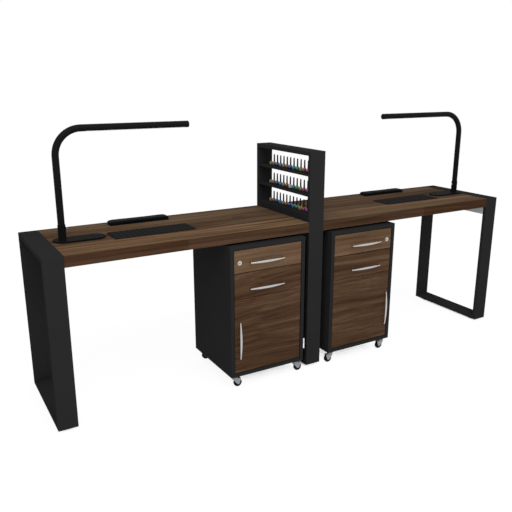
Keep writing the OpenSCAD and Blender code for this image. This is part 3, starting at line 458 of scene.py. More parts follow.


# Two coats have marks: the rails carry painted shade near the table's middle, the mats have thin dark ribs
coatMarks = {
    # painted shade: the rails are coloured dark within this distance of the table's middle, where the
    # pedestals and the middle frame shade them
    "rail": {"within": 0.3, "tone": rgb(0.02, 0.02, 0.02)},
    "mat": {"pitch": 0.025, "core": 0.0008, "fade": 0.0026, "tone": rgb(0.005, 0.005, 0.005)},
}


def makeCoat(name, spec):
    material, tree, shader, where = newMaterial(name + "Coat")
    coat = useGroup(tree, coatGroup, where, Grain=spec["grain"], Color=rgb(*spec["color"]),
        Spread=spec["spread"], Rough=spec["rough"])
    color = coat.outputs["Color"]
    if name in coatMarks:
        mark = coatMarks[name]
        across = addNode(tree, "ShaderNodeSeparateXYZ", {0: where}).outputs[0]
        # the first mask is painted shade on the rails near the table's middle; the second draws the mats'
        # ribs
        if "within" in mark:
            mask = calc(tree, "LESS_THAN", calc(tree, "ABSOLUTE", across, 0.0), mark["within"])
        else:
            wave = calc(tree, "PINGPONG", across, mark["pitch"] / 2)
            mask = remap(tree, wave, mark["core"], mark["fade"], 1.0, 0.0)
        color = blendColor(tree, mask, color, mark["tone"])
    dress(tree, shader, coat, color, spec, strength=spec["bump"], distance=0.0003)
    return material


def makeMetal(name, spec):
    material, tree, shader, where = newMaterial(name)
    lines = useGroup(tree, brushGroup, where, Lines=spec["lines"], Color=spec["color"], Rough=spec["rough"])
    dress(tree, shader, lines, lines.outputs["Color"], {"metal": 1.0}, strength=0.12, distance=0.0001)
    return material


def makeLeather(name, spec):
    material, tree, shader, where = newMaterial(name)
    grain = useGroup(tree, leatherGroup, where, Color=spec["color"], Crease=spec["shadedCrease"])
    dress(tree, shader, grain, grain.outputs["Color"], spec, strength=0.35, distance=0.0003)
    return material


def makePolish(name, spec):
    material, tree, shader, where = newMaterial(name)
    own = addNode(tree, "ShaderNodeAttribute", attribute_name="polishColor").outputs["Color"]
    flakes = addNode(tree, "ShaderNodeTexVoronoi", {"Vector": where}, Scale=spec["flakes"])
    sparkle = remap(tree, addNode(tree, "ShaderNodeSeparateXYZ", {0: flakes.outputs["Color"]}).outputs[0],
        spec["flakesFrom"], 1.0, 1.0, spec["sparkle"])
    tree.links.new(scaled(tree, own, sparkle), shader.inputs["Base Color"])
    blur = remap(tree, noise(tree, where, spec["cloud"]), 0.3, 0.7, *spec["rough"])
    tree.links.new(blur, shader.inputs["Roughness"])
    shader.inputs["Coat Weight"].default_value = spec["clear"]
    shader.inputs["Coat Roughness"].default_value = spec["clearRough"]
    return material


walnutTones = {
    "top": {"shift": (0.3, -0.06, -0.68), "rings": 0.7, "wander": 0.05, "gloss": 0.003,
        "dark": (0.048, 0.025, 0.014), "middle": (0.102, 0.059, 0.033), "light": (0.158, 0.102, 0.061)},
    "edge": {"shift": (1.7, 0.13, -0.62), "rings": 0.4, "wander": 0.03, "gloss": 0.003,
        "dark": (0.044, 0.022, 0.012), "middle": (0.070, 0.037, 0.021), "light": (0.102, 0.058, 0.034)},
    "topFront": {"shift": (0.9, 0.12, -0.52), "rings": 0.3, "wander": 0.04, "gloss": 0.003,
        "dark": (0.088, 0.050, 0.028), "middle": (0.136, 0.080, 0.045), "light": (0.188, 0.120, 0.073)},
    "lowFront": {"shift": (2.2, 0.10, -0.33), "rings": 0.5, "wander": 0.10, "gloss": 0.003,
        "dark": (0.050, 0.026, 0.014), "middle": (0.084, 0.045, 0.025), "light": (0.132, 0.079, 0.047)},
}
# A pale strip along the desktops' front, darker again near the edge, and the edge bands' seam
paleStrip = {"axis": "Y", "wave": 0.008, "low": -0.068, "high": -0.088, "tint": rgb(1.85, 1.83, 1.75)}
frontStrip = {"axis": "Y", "wave": 0.020, "low": -0.095, "high": -0.145}
deskTones = {
    "left": {"whole": 0.88, "front": rgb(0.75, 0.75, 0.75)},
    "right": {"whole": 0.74, "front": rgb(0.60, 0.60, 0.60)},
}
edgeSeam = {"axis": "X", "wave": 0.0, "tint": rgb(0.80, 0.74, 0.70)}
seamPlaces = {"left": (-0.6636, -0.664), "right": (0.700, 0.7004)}
coatParts = ("grain", "color", "spread", "rough", "gloss", "bump")
finishes = {
    "frame": (900.0, (0.0250, 0.0250, 0.0255), 0.25, 0.70, 0.0002, 0.22),
    "board": (700.0, (0.0235, 0.0235, 0.0240), 0.30, 0.72, 0.002, 0.15),
    "lamp": (1300.0, (0.0080, 0.0080, 0.0082), 0.25, 0.45, 0.03, 0.10),
    "lampBase": (1100.0, (0.0060, 0.0060, 0.0060), 0.25, 0.60, 0.009, 0.16),
    "rail": (900.0, (0.52, 0.53, 0.55), 0.12, 0.45, 0.4, 0.15),
    "glide": (800.0, (0.012, 0.012, 0.012), 0.3, 0.6, 0.1, 0.2),
    "cap": (1500.0, (0.006, 0.006, 0.007), 0.2, 0.35, 0.15, 0.05),
    "diffuser": (700.0, (0.80, 0.80, 0.77), 0.06, 0.45, 0.4, 0.05),
    "switch": (900.0, (0.78, 0.78, 0.77), 0.06, 0.35, 0.5, 0.04),
    "mat": (1500.0, (0.0170, 0.0170, 0.0172), 0.4, 0.80, 0.004, 0.5),
    "restBoard": (900.0, (0.008, 0.008, 0.008), 0.3, 0.6, 0.1, 0.2),
    "drawerBox": (500.0, (0.26, 0.26, 0.27), 0.16, 0.55, 0.2, 0.15),
    "fork": (1200.0, (0.34, 0.35, 0.36), 0.16, 0.42, 0.35, 0.12),
    "tyre": (1400.0, (0.004, 0.004, 0.004), 0.4, 0.60, 0.03, 0.3),
    "hub": (1200.0, (0.008, 0.008, 0.008), 0.3, 0.50, 0.05, 0.15),
}
metals = {
    "nickel": {"lines": (60.0, 900.0, 900.0), "color": rgb(0.54, 0.53, 0.52), "rough": 0.34},
    "zinc": {"lines": (240.0, 240.0, 240.0), "color": rgb(0.60, 0.61, 0.63), "rough": 0.42},
    "blackZinc": {"lines": (240.0, 240.0, 240.0), "color": rgb(0.050, 0.050, 0.052), "rough": 0.45},
}
# the second colour is painted shade for the leather's creases
leather = {"color": rgb(0.0085, 0.0085, 0.0088), "shadedCrease": rgb(0.004, 0.004, 0.004), "gloss": 0.012}
polish = {"flakes": 1500.0, "flakesFrom": 0.80, "sparkle": 1.7, "cloud": 240.0, "rough": (0.14, 0.24),
    "clear": 0.8, "clearRough": 0.03}

walnutTops, edgeBands = {}, {}
for side, tone in deskTones.items():
    spec = dict(walnutTones["top"])
    for part in ("dark", "middle", "light"):
        spec[part] = [value * tone["whole"] for value in spec[part]]
    walnutTops[side] = makeWalnut(side + "WalnutTop", spec, (paleStrip, dict(frontStrip, tint=tone["front"])))
    seam = dict(edgeSeam, low=seamPlaces[side][0], high=seamPlaces[side][1])
    edgeBands[side] = makeWalnut(side + "EdgeBand", walnutTones["edge"], (seam,))
walnutTopFront = makeWalnut("walnutTopFront", walnutTones["topFront"])
walnutLowFront = makeWalnut("walnutLowFront", walnutTones["lowFront"])
coats = {name: makeCoat(name, dict(zip(coatParts, row))) for name, row in finishes.items()}
nickel = makeMetal("satinNickel", metals["nickel"])
zinc = makeMetal("zincPlate", metals["zinc"])
blackZinc = makeMetal("blackZincPlate", metals["blackZinc"])
padLeather = makeLeather("padLeather", leather)
polishGlass = makePolish("polishGlass", polish)
print("materials made")


# Frames: a block is cut along the openings' edges, the openings' faces are removed and their
# edges bridged through, so that each frame is one welded ring of flat tube
def makeFrame(name, midX, topZ, openings):
    half = table["frameHalf"]
    piece = addBlock(name, (midX - half, table["front"], table["frameLow"]),
        (midX + half, table["back"], topZ))
    near, far = table["front"] + table["tube"], table["back"] - table["tube"]
    cuts = [((0, near, 0), (0, 1, 0)), ((0, far, 0), (0, 1, 0))]
    cuts += [((0, 0, z), (0, 0, 1)) for span in openings for z in span]
    for place, normal in cuts:
        pickAll(piece)
        bpy.ops.mesh.bisect(plane_co=place, plane_no=normal)
        objectMode()
    slack = 0.001

    def within(point, low, high, more=0.0):
        return near - more < point.y < far + more and low - more < point.z < high + more

    for low, high in openings:
        pickFaces(piece, lambda c, n: abs(n.x) > 0.9 and within(c, low, high))
        bpy.ops.mesh.delete(type="FACE")
        objectMode()
        pickEdges(piece, lambda a, b: abs(a.x - b.x) < slack
            and within(a, low, high, slack) and within(b, low, high, slack))
        bpy.ops.mesh.bridge_edge_loops()
        objectMode()
    pickAll(piece)
    bpy.ops.mesh.dissolve_limited(angle_limit=math.radians(1))
    bpy.ops.mesh.select_all(action="SELECT")
    bpy.ops.mesh.normals_make_consistent(inside=False)
    objectMode()
    return bevelEdges(piece, width=0.0013, segments=3)


frameSizes = {"lowOpening": 0.032, "underDesk": 0.730, "displayTube": 0.020}
for side, sign in sides.items():
    endFrame = makeFrame(side + "EndFrame", sign * table["frameX"], table["top"],
        [(frameSizes["lowOpening"], frameSizes["underDesk"])])
    finishPiece(endFrame, "table", "frame_coat", coats["frame"], "end_frames")
middleFrame = makeFrame("middleFrame", 0.0, table["displayTop"],
    [(frameSizes["lowOpening"], frameSizes["underDesk"]),
     (table["top"], table["displayTop"] - frameSizes["displayTube"])])
finishPiece(middleFrame, "table", "frame_coat", coats["frame"], "centre_frame")
print("frames made")


# Desktops: a thick laminated board with an edge band all round
def makeDesktop(side, sign):
    ends = sorted((sign * table["deskNear"], sign * table["deskFar"]))
    piece = addBlock(side + "Desktop", (ends[0] + table["gap"], table["front"], table["under"]),
        (ends[1] - table["gap"], table["back"], table["top"]))
    piece.data.materials.append(walnutTops[side])
    piece.data.materials.append(edgeBands[side])
    pickFaces(piece, lambda c, n: abs(n.y) > 0.9 or abs(n.x) > 0.9)
    piece.active_material_index = 1
    bpy.ops.object.material_slot_assign()
    objectMode()
    bevelEdges(piece, width=0.0010, segments=3)
    return finishPiece(piece, "table", "walnut_top", [], side + "_desktop")


for side, sign in sides.items():
    makeDesktop(side, sign)
print("desktops made")


# Display boards between the posts of the middle frame
display = {"displayFloor": (0.7500, 0.7850), "lowerShelf": (0.8707, 0.8807), "upperShelf": (0.9664, 0.9764)}
halfWide, inset = table["frameHalf"] - table["gap"], table["tube"] + table["gap"]
boards = []
for name, (low, high) in display.items():
    board = addBlock(name, (-halfWide, table["front"] + inset, low), (halfWide, table["back"] - inset, high))
    boards.append(bevelEdges(board, width=0.0007))
boards = joinAll("displayBoards", boards)
finishPiece(boards, "table", "display_board", coats["board"], "display_shelves")

# Polish bottles: one turned bottle and one turned cap, copied along each board
bottle = {"count": 12, "pitch": 0.0307, "middle": 0.0225, "points": 20,
    "glass": [(0.0070, 0.0), (0.0082, 0.0003), (0.0089, 0.0013), (0.0090, 0.0060), (0.0090, 0.0105),
        (0.0086, 0.0136), (0.0075, 0.0161), (0.0058, 0.0176), (0.0036, 0.0180), (0.0027, 0.0182),
        (0.0025, 0.0238)],
    "cap": [(0.0036, 0.0181), (0.0041, 0.0183), (0.00425, 0.0192), (0.0041, 0.0250), (0.0038, 0.0380),
        (0.0034, 0.0520), (0.00325, 0.0552), (0.0027, 0.0560)],
}
polishColors = [(0.27, 0.17, 0.07), (0.12, 0.085, 0.035), (0.014, 0.022, 0.21), (0.014, 0.17, 0.28),
    (0.29, 0.14, 0.05), (0.14, 0.07, 0.035), (0.012, 0.026, 0.26), (0.012, 0.19, 0.21),
    (0.014, 0.18, 0.05), (0.30, 0.22, 0.03), (0.24, 0.022, 0.17), (0.27, 0.04, 0.09)]
secondRow = {6: (0.62, 0.60, 0.56)}
glassMaster = turnPiece("bottleGlass", (0, 0, 0), bottle["glass"], bottle["points"])
capMaster = turnPiece("bottleCap", (0, 0, 0), bottle["cap"], points=14)
glasses, caps = [], []
for row, (low, top) in enumerate(display.values()):
    for k in range(bottle["count"]):
        y = bottle["middle"] + ((bottle["count"] - 1) / 2 - k) * bottle["pitch"]
        glass = copyPiece(glassMaster, f"glass{row}-{k}", (0, y, top))
        tint = glass.data.color_attributes.new("polishColor", "FLOAT_COLOR", "POINT")
        color = secondRow.get(k, polishColors[k]) if row == 1 else polishColors[k]
        for spot in tint.data:
            spot.color = (*color, 1.0)
        glasses.append(glass)
        caps.append(copyPiece(capMaster, f"cap{row}-{k}", (0, y, top)))
for master in (glassMaster, capMaster):
    bpy.data.objects.remove(master)
finishPiece(joinAll("polishBottles", glasses), "table", "polish_glass", polishGlass, "polish_bottles")
finishPiece(joinAll("bottleCaps", caps), "table", "cap_plastic", coats["cap"], "bottle_caps")
print("display made")


# Lamps: a flat foot with a collar, and a tube bent over the desk, grooved below for its light strip
lamp = {"y": 0.0075, "postX": {"left": -1.135, "right": 1.169}, "footMiddle": 0.071, "footLength": 0.222,
    "footWidth": 0.090, "footLow": 0.750, "footTop": 0.757,
    "collarTop": 0.821, "collar": 0.0165, "skirt": 0.0180, "fit": 0.0002,
    "tube": 0.0145, "tubeLow": 0.7713, "armZ": 1.2125, "bend": 0.110, "reach": 0.588,
    "stripStart": 0.130, "stripEnd": 0.570, "stripDeep": 0.0011, "points": 32,
    "plug": 0.003, "plugGap": 0.0006, "plugSteps": [(0.0, 0.955), (0.0006, 1.0), (0.0, 1 / 0.955),
        (0.0016, 1.0), (0.0008, 0.97), (0.0006, 0.93)],
    "bossZ": 0.804, "boss": 0.005, "bossFace": 0.0195,
    "button": 0.0035, "buttonFace": 0.0220, "buttonFoot": 0.0176,
    "glandZ": 0.764, "gland": 0.0055, "glandBore": 0.0025, "glandNear": 0.0170, "glandFar": 0.0250}


def makeLampFoot(side, inward):
    x, y = lamp["postX"][side], lamp["y"]
    straight = (lamp["footLength"] - lamp["footWidth"]) / 2
    middle = x + inward * lamp["footMiddle"]
    low, top = lamp["footLow"], lamp["footTop"]
    freshStart()
    bpy.ops.mesh.primitive_cylinder_add(vertices=64, radius=lamp["footWidth"] / 2, depth=top - low,
        location=(middle, y, (top + low) / 2), rotation=(0, 0, math.pi / 64))
    foot = bpy.context.object
    foot.name = side + "Foot"
    settle(foot)
    for way in (-1, 1):
        pickPoints(foot, lambda p: (p.x - middle) * way > 0)
        bpy.ops.transform.translate(value=(way * straight, 0, 0))
        objectMode()
    bevelEdges(foot, width=0.0016, segments=3, angle=50)
    r, crown, bore = lamp["collar"], lamp["collarTop"], lamp["tube"] + lamp["fit"]
    collar = turnPiece("collar", (x, y, 0), [
        (lamp["skirt"], top - 0.0004), (lamp["skirt"], top + 0.0012), (0.0169, top + 0.0022),
        (r, top + 0.0030), (r, crown - 0.0010), (r - 0.0003, crown - 0.0003), (r - 0.0010, crown),
        (bore, crown), (bore, crown - 0.0040)], points=48)
    outer, face, hole = lamp["boss"], lamp["bossFace"], lamp["button"] + lamp["fit"]
    boss = turnPiece("boss", (x, y, lamp["bossZ"]), [
        (outer, r - 0.0020), (outer, face - 0.0006), (outer - 0.0006, face), (hole, face),
        (hole, face - 0.0015)], points=28, axis="X" if inward > 0 else "-X")
    g, near, far = lamp["gland"], lamp["glandNear"], lamp["glandFar"]
    gland = turnPiece("gland", (x, y, lamp["glandZ"]), [
        (g - 0.0012, r - 0.0015), (g - 0.0012, near), (g, near), (g, near + 0.0022),
        (g - 0.0009, near + 0.0030), (g - 0.0009, near + 0.0042), (g - 0.0002, near + 0.0050),
        (g - 0.0010, far - 0.0008), (g - 0.0018, far), (lamp["glandBore"], far),
        (lamp["glandBore"], far - 0.0060)], points=28, axis="Y")
    return joinAll(side + "LampFoot", [foot, collar, boss, gland])


def makeLampArm(side, inward):
    x, y, r = lamp["postX"][side], lamp["y"], lamp["tube"]
    freshStart()
    bpy.ops.mesh.primitive_circle_add(vertices=lamp["points"], radius=r,
        location=(x, y, lamp["tubeLow"]), fill_type="NGON")
    arm = bpy.context.object
    arm.name = side + "LampArm"
    settle(arm)
    pickAll(arm)
    bendLow = lamp["armZ"] - lamp["bend"]
    extrudeBy(0, 0, bendLow - lamp["tubeLow"])
    bpy.ops.mesh.spin(steps=16, angle=-math.pi / 2 * inward, center=(x + inward * lamp["bend"], y, bendLow),
        axis=(0, 1, 0))
    for reach in (lamp["stripStart"], lamp["stripEnd"], lamp["reach"] - lamp["plug"] - lamp["plugGap"]):
        objectMode()
        tip = max(p.co.x * inward for p in arm.data.vertices)
        editMode("FACE")
        extrudeBy(inward * (x * inward + reach - tip), 0, 0)
    seat = x + inward * (lamp["reach"] - lamp["plug"])
    for move, ratio in lamp["plugSteps"]:
        extrudeBy(inward * move, 0, 0)
        bpy.ops.transform.resize(value=(1, ratio, ratio), center_override=(seat, y, lamp["armZ"]))
    bpy.ops.mesh.select_all(action="SELECT")
    bpy.ops.mesh.remove_doubles(threshold=0.00001)
    bpy.ops.mesh.normals_make_consistent(inside=False)
    objectMode()
    near, far = x * inward + lamp["stripStart"], x * inward + lamp["stripEnd"]
    pickFaces(arm, lambda c, n: near < c.x * inward < far and n.z < -0.86 and c.z < lamp["armZ"])
    bpy.ops.mesh.extrude_region_shrink_fatten(TRANSFORM_OT_shrink_fatten={"value": -lamp["stripDeep"]})
    objectMode()
    takeUp(arm)
    bpy.ops.object.shade_smooth_by_angle(angle=math.radians(32))
    return arm


for side, sign in sides.items():
    inward = -sign
    finishPiece(makeLampFoot(side, inward), "table", "lamp_coat", coats["lampBase"], "lamp_bases")
    finishPiece(makeLampArm(side, inward), side + "_lamp", "lamp_coat", coats["lamp"], side + "_lamp_arm")
    r, face = lamp["button"], lamp["buttonFace"]
    button = turnPiece(side + "LampButton", (lamp["postX"][side], lamp["y"], lamp["bossZ"]), [
        (r, lamp["buttonFoot"]), (r, face - 0.0009), (r - 0.0003, face - 0.0004), (r - 0.0010, face),
        (0.0014, face - 0.0003)], points=28, axis="X" if inward > 0 else "-X")
    finishPiece(button, side + "_lamp_button", "switch_plastic", coats["switch"], side + "_lamp_switch")
print("lamps made")


# Drawer pedestals
pedestal = {"middle": 0.278, "half": 0.200, "inside": 0.182, "front": -0.2475, "back": 0.1525,
    "low": 0.059, "top": 0.693, "board": 0.018, "backBoard": 0.006, "rearInset": 0.0003,
    "dividerFront": -0.2195, "dividerLow": 0.4335, "dividerTop": 0.4495,
    "face": -0.2455, "faceBack": -0.2295, "frontHalf": 0.179}
fronts = {"top": (0.566, 0.672), "lower": (0.443, 0.563), "door": (0.080, 0.440)}


def sideBlock(name, sign, x0, x1, y0, y1, z0, z1):
    ends = sorted((sign * (pedestal["middle"] + x0), sign * (pedestal["middle"] + x1)))
    return addBlock(name, (ends[0], y0, z0), (ends[1], y1, z1))


def makeCabinet(side, sign):
    p = pedestal
    half, inside, low, top, board = p["half"], p["inside"], p["low"], p["top"], p["board"]
    plan = [
        ("bottom", -half, half, p["front"], p["back"], low, low + board),
        ("lid", -half, half, p["front"], p["back"], top - board, top),
        ("innerSide", -half, -inside, p["front"], p["back"], low + board, top - board),
        ("outerSide", inside, half, p["front"], p["back"], low + board, top - board),
        ("rear", -inside, inside, p["back"] - p["backBoard"], p["back"] - p["rearInset"],
         low + board, top - board),
        ("divider", -inside, inside, p["dividerFront"], p["back"] - p["backBoard"],
         p["dividerLow"], p["dividerTop"]),
    ]
    boards = [bevelEdges(sideBlock(side + name, sign, *box), width=0.0005) for name, *box in plan]
    return joinAll(side + "Cabinet", boards)


# A bow handle: an oval section spun along its arc, then widened towards the middle
handle = {"radius": 0.593, "centre": 0.571, "sweep": 8.83, "steps": 28, "thick": 0.0036, "end": 0.0905,
    "wideMiddle": 0.0105, "wideEnd": 0.0044, "round": 0.0010,
    "foot": 0.0875, "footRadius": 0.0034, "footHeight": 0.0150}


def makeHandle():
    h = handle
    start = math.radians(-h["sweep"])
    freshStart()
    bpy.ops.mesh.primitive_circle_add(vertices=16, radius=0.5, fill_type="NGON",
        location=(h["radius"] * math.sin(start), h["centre"] - h["radius"] * math.cos(start), 0),
        rotation=(0, math.pi / 2, start))
    strap = bpy.context.object
    strap.name = "bowHandle"
    strap.scale = (h["wideEnd"], h["thick"], 1)
    settle(strap)
    pickAll(strap)
    bpy.ops.mesh.spin(steps=h["steps"], angle=-2 * abs(start), center=(0, h["centre"], 0), axis=(0, 0, 1))
    objectMode()
    for step in range(1, h["steps"]):
        turn = start + 2 * abs(start) * step / h["steps"]
        share = 1 - (math.sin(turn) / math.sin(start)) ** 2
        wide = h["wideEnd"] + (h["wideMiddle"] - h["wideEnd"]) * share
        nearby = abs(start) / h["steps"] / 2
        pickPoints(strap, lambda p: abs(math.atan2(p.x, h["centre"] - p.y) - turn) < nearby)
        bpy.ops.transform.resize(value=(1, 1, wide / h["wideEnd"]), center_override=(0, 0, 0))
        objectMode()
    pickAll(strap)
    bpy.ops.mesh.remove_doubles(threshold=0.00001)
    bpy.ops.mesh.normals_make_consistent(inside=False)
    objectMode()
    pickEdges(strap, lambda a, b: min(abs(a.x), abs(b.x)) > h["end"])
    bpy.ops.mesh.bevel(offset=h["round"], segments=3, affect="EDGES")
    objectMode()
    bpy.ops.object.shade_smooth_by_angle(angle=math.radians(50))
    reach = h["footHeight"]
    feet = [turnPiece("foot", (way * h["foot"], 0, 0), [
        (h["footRadius"], 0.0), (h["footRadius"], reach - 0.0025), (h["footRadius"] - 0.0005, reach - 0.0012),
        (h["footRadius"] - 0.0012, reach)], points=24, axis="-Y") for way in (-1, 1)]
    return joinAll("bowHandle", [strap] + feet)


lock = {"place": 0.152, "z": 0.614, "face": 0.011, "body": 0.0085, "bore": 0.0046}


def makeLockFace(side, sign):
    r, x = lock["face"], sign * (pedestal["middle"] + lock["place"])
    return turnPiece(side + "LockFace", (x, pedestal["face"], lock["z"]), [
        (lock["body"], -0.0160), (lock["body"], 0.0), (r, 0.0), (r, 0.0010), (r - 0.0004, 0.0017),
        (r - 0.0011, 0.0020), (r - 0.0030, 0.0020), (r - 0.0036, 0.0016), (lock["bore"] + 0.0006, 0.0016),
        (lock["bore"], 0.0012), (lock["bore"], -0.0040)], points=40, axis="-Y")


# A clean copy of a CAD node, with its triangles merged, for pieces that only need softer edges
def copyNode(name, node, keep=None, soft=0.0003):
    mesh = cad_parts[node].data.copy()
    mesh.materials.clear()
    twin = bpy.data.objects.new(name, mesh)
    bpy.context.scene.collection.objects.link(twin)
    pickAll(twin)
    bpy.ops.mesh.customdata_custom_splitnormals_clear()
    bpy.ops.mesh.remove_doubles(threshold=0.000005)
    objectMode()
    if keep:
        pickFaces(twin, lambda c, n: not keep(c))
        bpy.ops.mesh.delete(type="FACE")
        objectMode()
    pickAll(twin)
    bpy.ops.mesh.dissolve_limited(angle_limit=math.radians(1))
    objectMode()
    return bevelEdges(twin, width=soft, angle=40)


handlePlaces = {"top": (0.012, 0.610), "lower": (0.012, 0.486), "door": (0.157, 0.242)}
handleMaster = makeHandle()
handleUp = copyPiece(handleMaster, "handleUpright")
handleUp.rotation_euler = (0, math.pi / 2, 0)
settle(handleUp)


def placeHandle(name, sign, drawer):
    x, z = handlePlaces[drawer]
    master = handleUp if drawer == "door" else handleMaster
    return copyPiece(master, name, (sign * (pedestal["middle"] + x), pedestal["face"], z))


for side, sign in sides.items():
    finishPiece(makeCabinet(side, sign), side + "_pedestal", "cabinet_board", coats["board"],
        side + "_cabinet")
    half = pedestal["frontHalf"]
    for drawer, (low, high) in fronts.items():
        board = sideBlock(f"{side}{drawer.capitalize()}Front", sign, -half, half,
            pedestal["face"], pedestal["faceBack"], low, high)
        bevelEdges(board, width=0.0009, segments=3)
        body = side + ("_cupboard_door" if drawer == "door" else f"_{drawer}_drawer")
        node = side + ("_door" if drawer == "door" else f"_{drawer}_drawer_front")
        finishPiece(board, body, "walnut_front", walnutTopFront if drawer == "top" else walnutLowFront, node)
    for drawer in ("top", "lower"):
        body, node = f"{side}_{drawer}_drawer", f"{side}_{drawer}_drawer_fittings"
        bow = placeHandle(f"{side}{drawer.capitalize()}Handle", sign, drawer)
        finishPiece(bow, body, "handle_metal", nickel, node)
        behind = pedestal["faceBack"] - 0.0004
        runners = copyNode(f"{side}{drawer.capitalize()}Runners", node, lambda c: c.y > behind)
        finishPiece(runners, body, "handle_metal", zinc, node)
    finishPiece(makeLockFace(side, sign), side + "_top_drawer", "handle_metal", nickel,
        side + "_top_drawer_fittings")
    finishPiece(placeHandle(side + "DoorHandle", sign, "door"), side + "_cupboard_door", "handle_metal",
        nickel, side + "_door_handle")
for master in (handleMaster, handleUp):
    bpy.data.objects.remove(master)
print("pedestals made")


# Casters: a turned wheel with a soft tyre round a dished hub, the same on both faces, and its fork
wheel = {"hub": 0.0143, "z": 0.020,
    "half": [(0.0060, 0.0070), (0.0075, 0.0055), (0.0132, 0.0055), (0.0141, 0.0062), (0.0150, 0.0070),
        (0.0176, 0.0070), (0.0189, 0.0065), (0.0197, 0.0056), (0.0200, 0.0044)]}
wheelRings = [(r, -h) for r, h in wheel["half"]] + wheel["half"][::-1]
wheelMaster = turnPiece("wheel", (0, 0, 0), wheelRings, points=40, axis="Y")
wheelMaster.data.materials.append(coats["tyre"])
wheelMaster.data.materials.append(coats["hub"])
pickFaces(wheelMaster, lambda c, n: math.hypot(c.x, c.z) < wheel["hub"] and abs(n.y) > 0.05)
wheelMaster.active_material_index = 1
bpy.ops.object.material_slot_assign()
objectMode()
axles = {"outer": 0.434, "inner": 0.094}
rows = {"front": -0.2225, "rear": 0.1275}
for side, sign in sides.items():
    for end, y in rows.items():
        for lane, x in axles.items():
            name = f"{side}_{end}_{lane}"
            title = side + end.capitalize() + lane.capitalize()
            tyre = copyPiece(wheelMaster, title + "Wheel", (sign * x, y, wheel["z"]))
            finishPiece(tyre, name + "_wheel_body", "caster_tyre", [], name + "_wheel")
            fork = copyNode(title + "Fork", name + "_fork", soft=0.0004)
            finishPiece(fork, name + "_fork_body", "caster_plastic", coats["fork"], name + "_fork")
bpy.data.objects.remove(wheelMaster)
print("casters made")


# Mats: thin rubber sheets with a rounded edge
mat = {"x": {"left": -0.747, "right": 0.767}, "y": -0.0125, "long": 0.376, "deep": 0.124,
    "low": 0.750, "top": 0.754, "corner": 0.004}
for side, x in mat["x"].items():
    sheet = addBlock(side + "Mat", (x - mat["long"] / 2, mat["y"] - mat["deep"] / 2, mat["low"]),
        (x + mat["long"] / 2, mat["y"] + mat["deep"] / 2, mat["top"]))
    pickEdges(sheet, lambda a, b: abs(a.z - b.z) > 0.001)
    bpy.ops.mesh.bevel(offset=mat["corner"], segments=5, affect="EDGES")
    objectMode()
    bevelEdges(sheet, width=0.0010, segments=3, angle=50)
    finishPiece(sheet, "table", "mat_rubber", coats["mat"], "work_mats")
print("mats made")

# Hand rests: a stuffed cover, swollen by cloth simulation, with a sewn seam round its side
rest = {"x": {"left": -0.731, "right": 0.783}, "y": 0.2085, "low": 0.7532, "top": 0.7690,
    "long": 0.300, "deep": 0.072, "start": (0.0015, 0.0015, 0.0030), "corner": 0.016, "edge": 0.0045,
    "voxel": 0.0042, "pressure": 4.0, "mass": 0.15, "frames": 20, "cap": 0.0050,
    "seam": 0.7580, "seamHalf": 0.0007, "seamDeep": 0.0006, "seamReach": 0.0008}


def makeHandRest(side):
    x, y = rest["x"][side], rest["y"]
    inX, inY, inZ = rest["start"]
    pad = addBlock(side + "HandRest", (x - rest["long"] / 2 + inX, y - rest["deep"] / 2 + inY, rest["low"]),
        (x + rest["long"] / 2 - inX, y + rest["deep"] / 2 - inY, rest["top"] - inZ))
    pickEdges(pad, lambda a, b: abs(a.z - b.z) > 0.001)
    bpy.ops.mesh.bevel(offset=rest["corner"], segments=6, affect="EDGES")
    objectMode()
    pickEdges(pad, lambda a, b: min(a.z, b.z) > rest["low"] + 0.004)
    bpy.ops.mesh.bevel(offset=rest["edge"], segments=3, affect="EDGES")
    objectMode()
    takeUp(pad)
    remesh = pad.modifiers.new("voxels", "REMESH")
    remesh.mode = "VOXEL"
    remesh.voxel_size = rest["voxel"]
    bpy.ops.object.modifier_apply(modifier=remesh.name)
    start = [p.co.copy() for p in pad.data.vertices]
    cloth = pad.modifiers.new("stuffing", "CLOTH")
    cloth.settings.use_pressure = True
    cloth.settings.uniform_pressure_force = rest["pressure"]
    cloth.settings.effector_weights.gravity = 0
    cloth.settings.mass = rest["mass"]
    for number in range(1, rest["frames"] + 1):
        bpy.context.scene.frame_set(number)
    swollen = pad.evaluated_get(bpy.context.evaluated_depsgraph_get())
    ends = [p.co.copy() for p in swollen.data.vertices]
    pad.modifiers.remove(cloth)
    bpy.context.scene.frame_set(1)
    for point, before, after in zip(pad.data.vertices, start, ends):
        move = after - before
        if move.length > rest["cap"]:
            move *= rest["cap"] / move.length
        point.co = before + move
    for point in pad.data.vertices:
        point.co.z = min(max(point.co.z, rest["low"]), rest["top"] - 0.0002)
        point.co.x = min(max(point.co.x, x - rest["long"] / 2), x + rest["long"] / 2)
        point.co.y = min(max(point.co.y, y - rest["deep"] / 2), y + rest["deep"] / 2)
    takeUp(pad)
    smooth = pad.modifiers.new("even", "SMOOTH")
    smooth.factor = 0.5
    smooth.iterations = 4
    bpy.ops.object.modifier_apply(modifier=smooth.name)
    finer = pad.modifiers.new("finer", "SUBSURF")
    finer.levels = 1
    finer.render_levels = 1
    bpy.ops.object.modifier_apply(modifier=finer.name)
    pickAll(pad, "EDGE")
    bpy.ops.mesh.bisect(plane_co=(x, y, rest["seam"]), plane_no=(0, 0, 1))
    bpy.ops.mesh.bevel(offset=rest["seamHalf"], segments=2, affect="EDGES")
    objectMode()
    pickFaces(pad, lambda c, n: abs(c.z - rest["seam"]) < rest["seamReach"] and abs(n.z) < 0.7)
    bpy.ops.transform.shrink_fatten(value=-rest["seamDeep"])
    objectMode()
    bpy.ops.object.shade_smooth()
    return pad


for side in sides:
    pad = makeHandRest(side)
    finishPiece(pad, "table", "pad_cover", padLeather, side + "_hand_rest")
print("hand rests made")


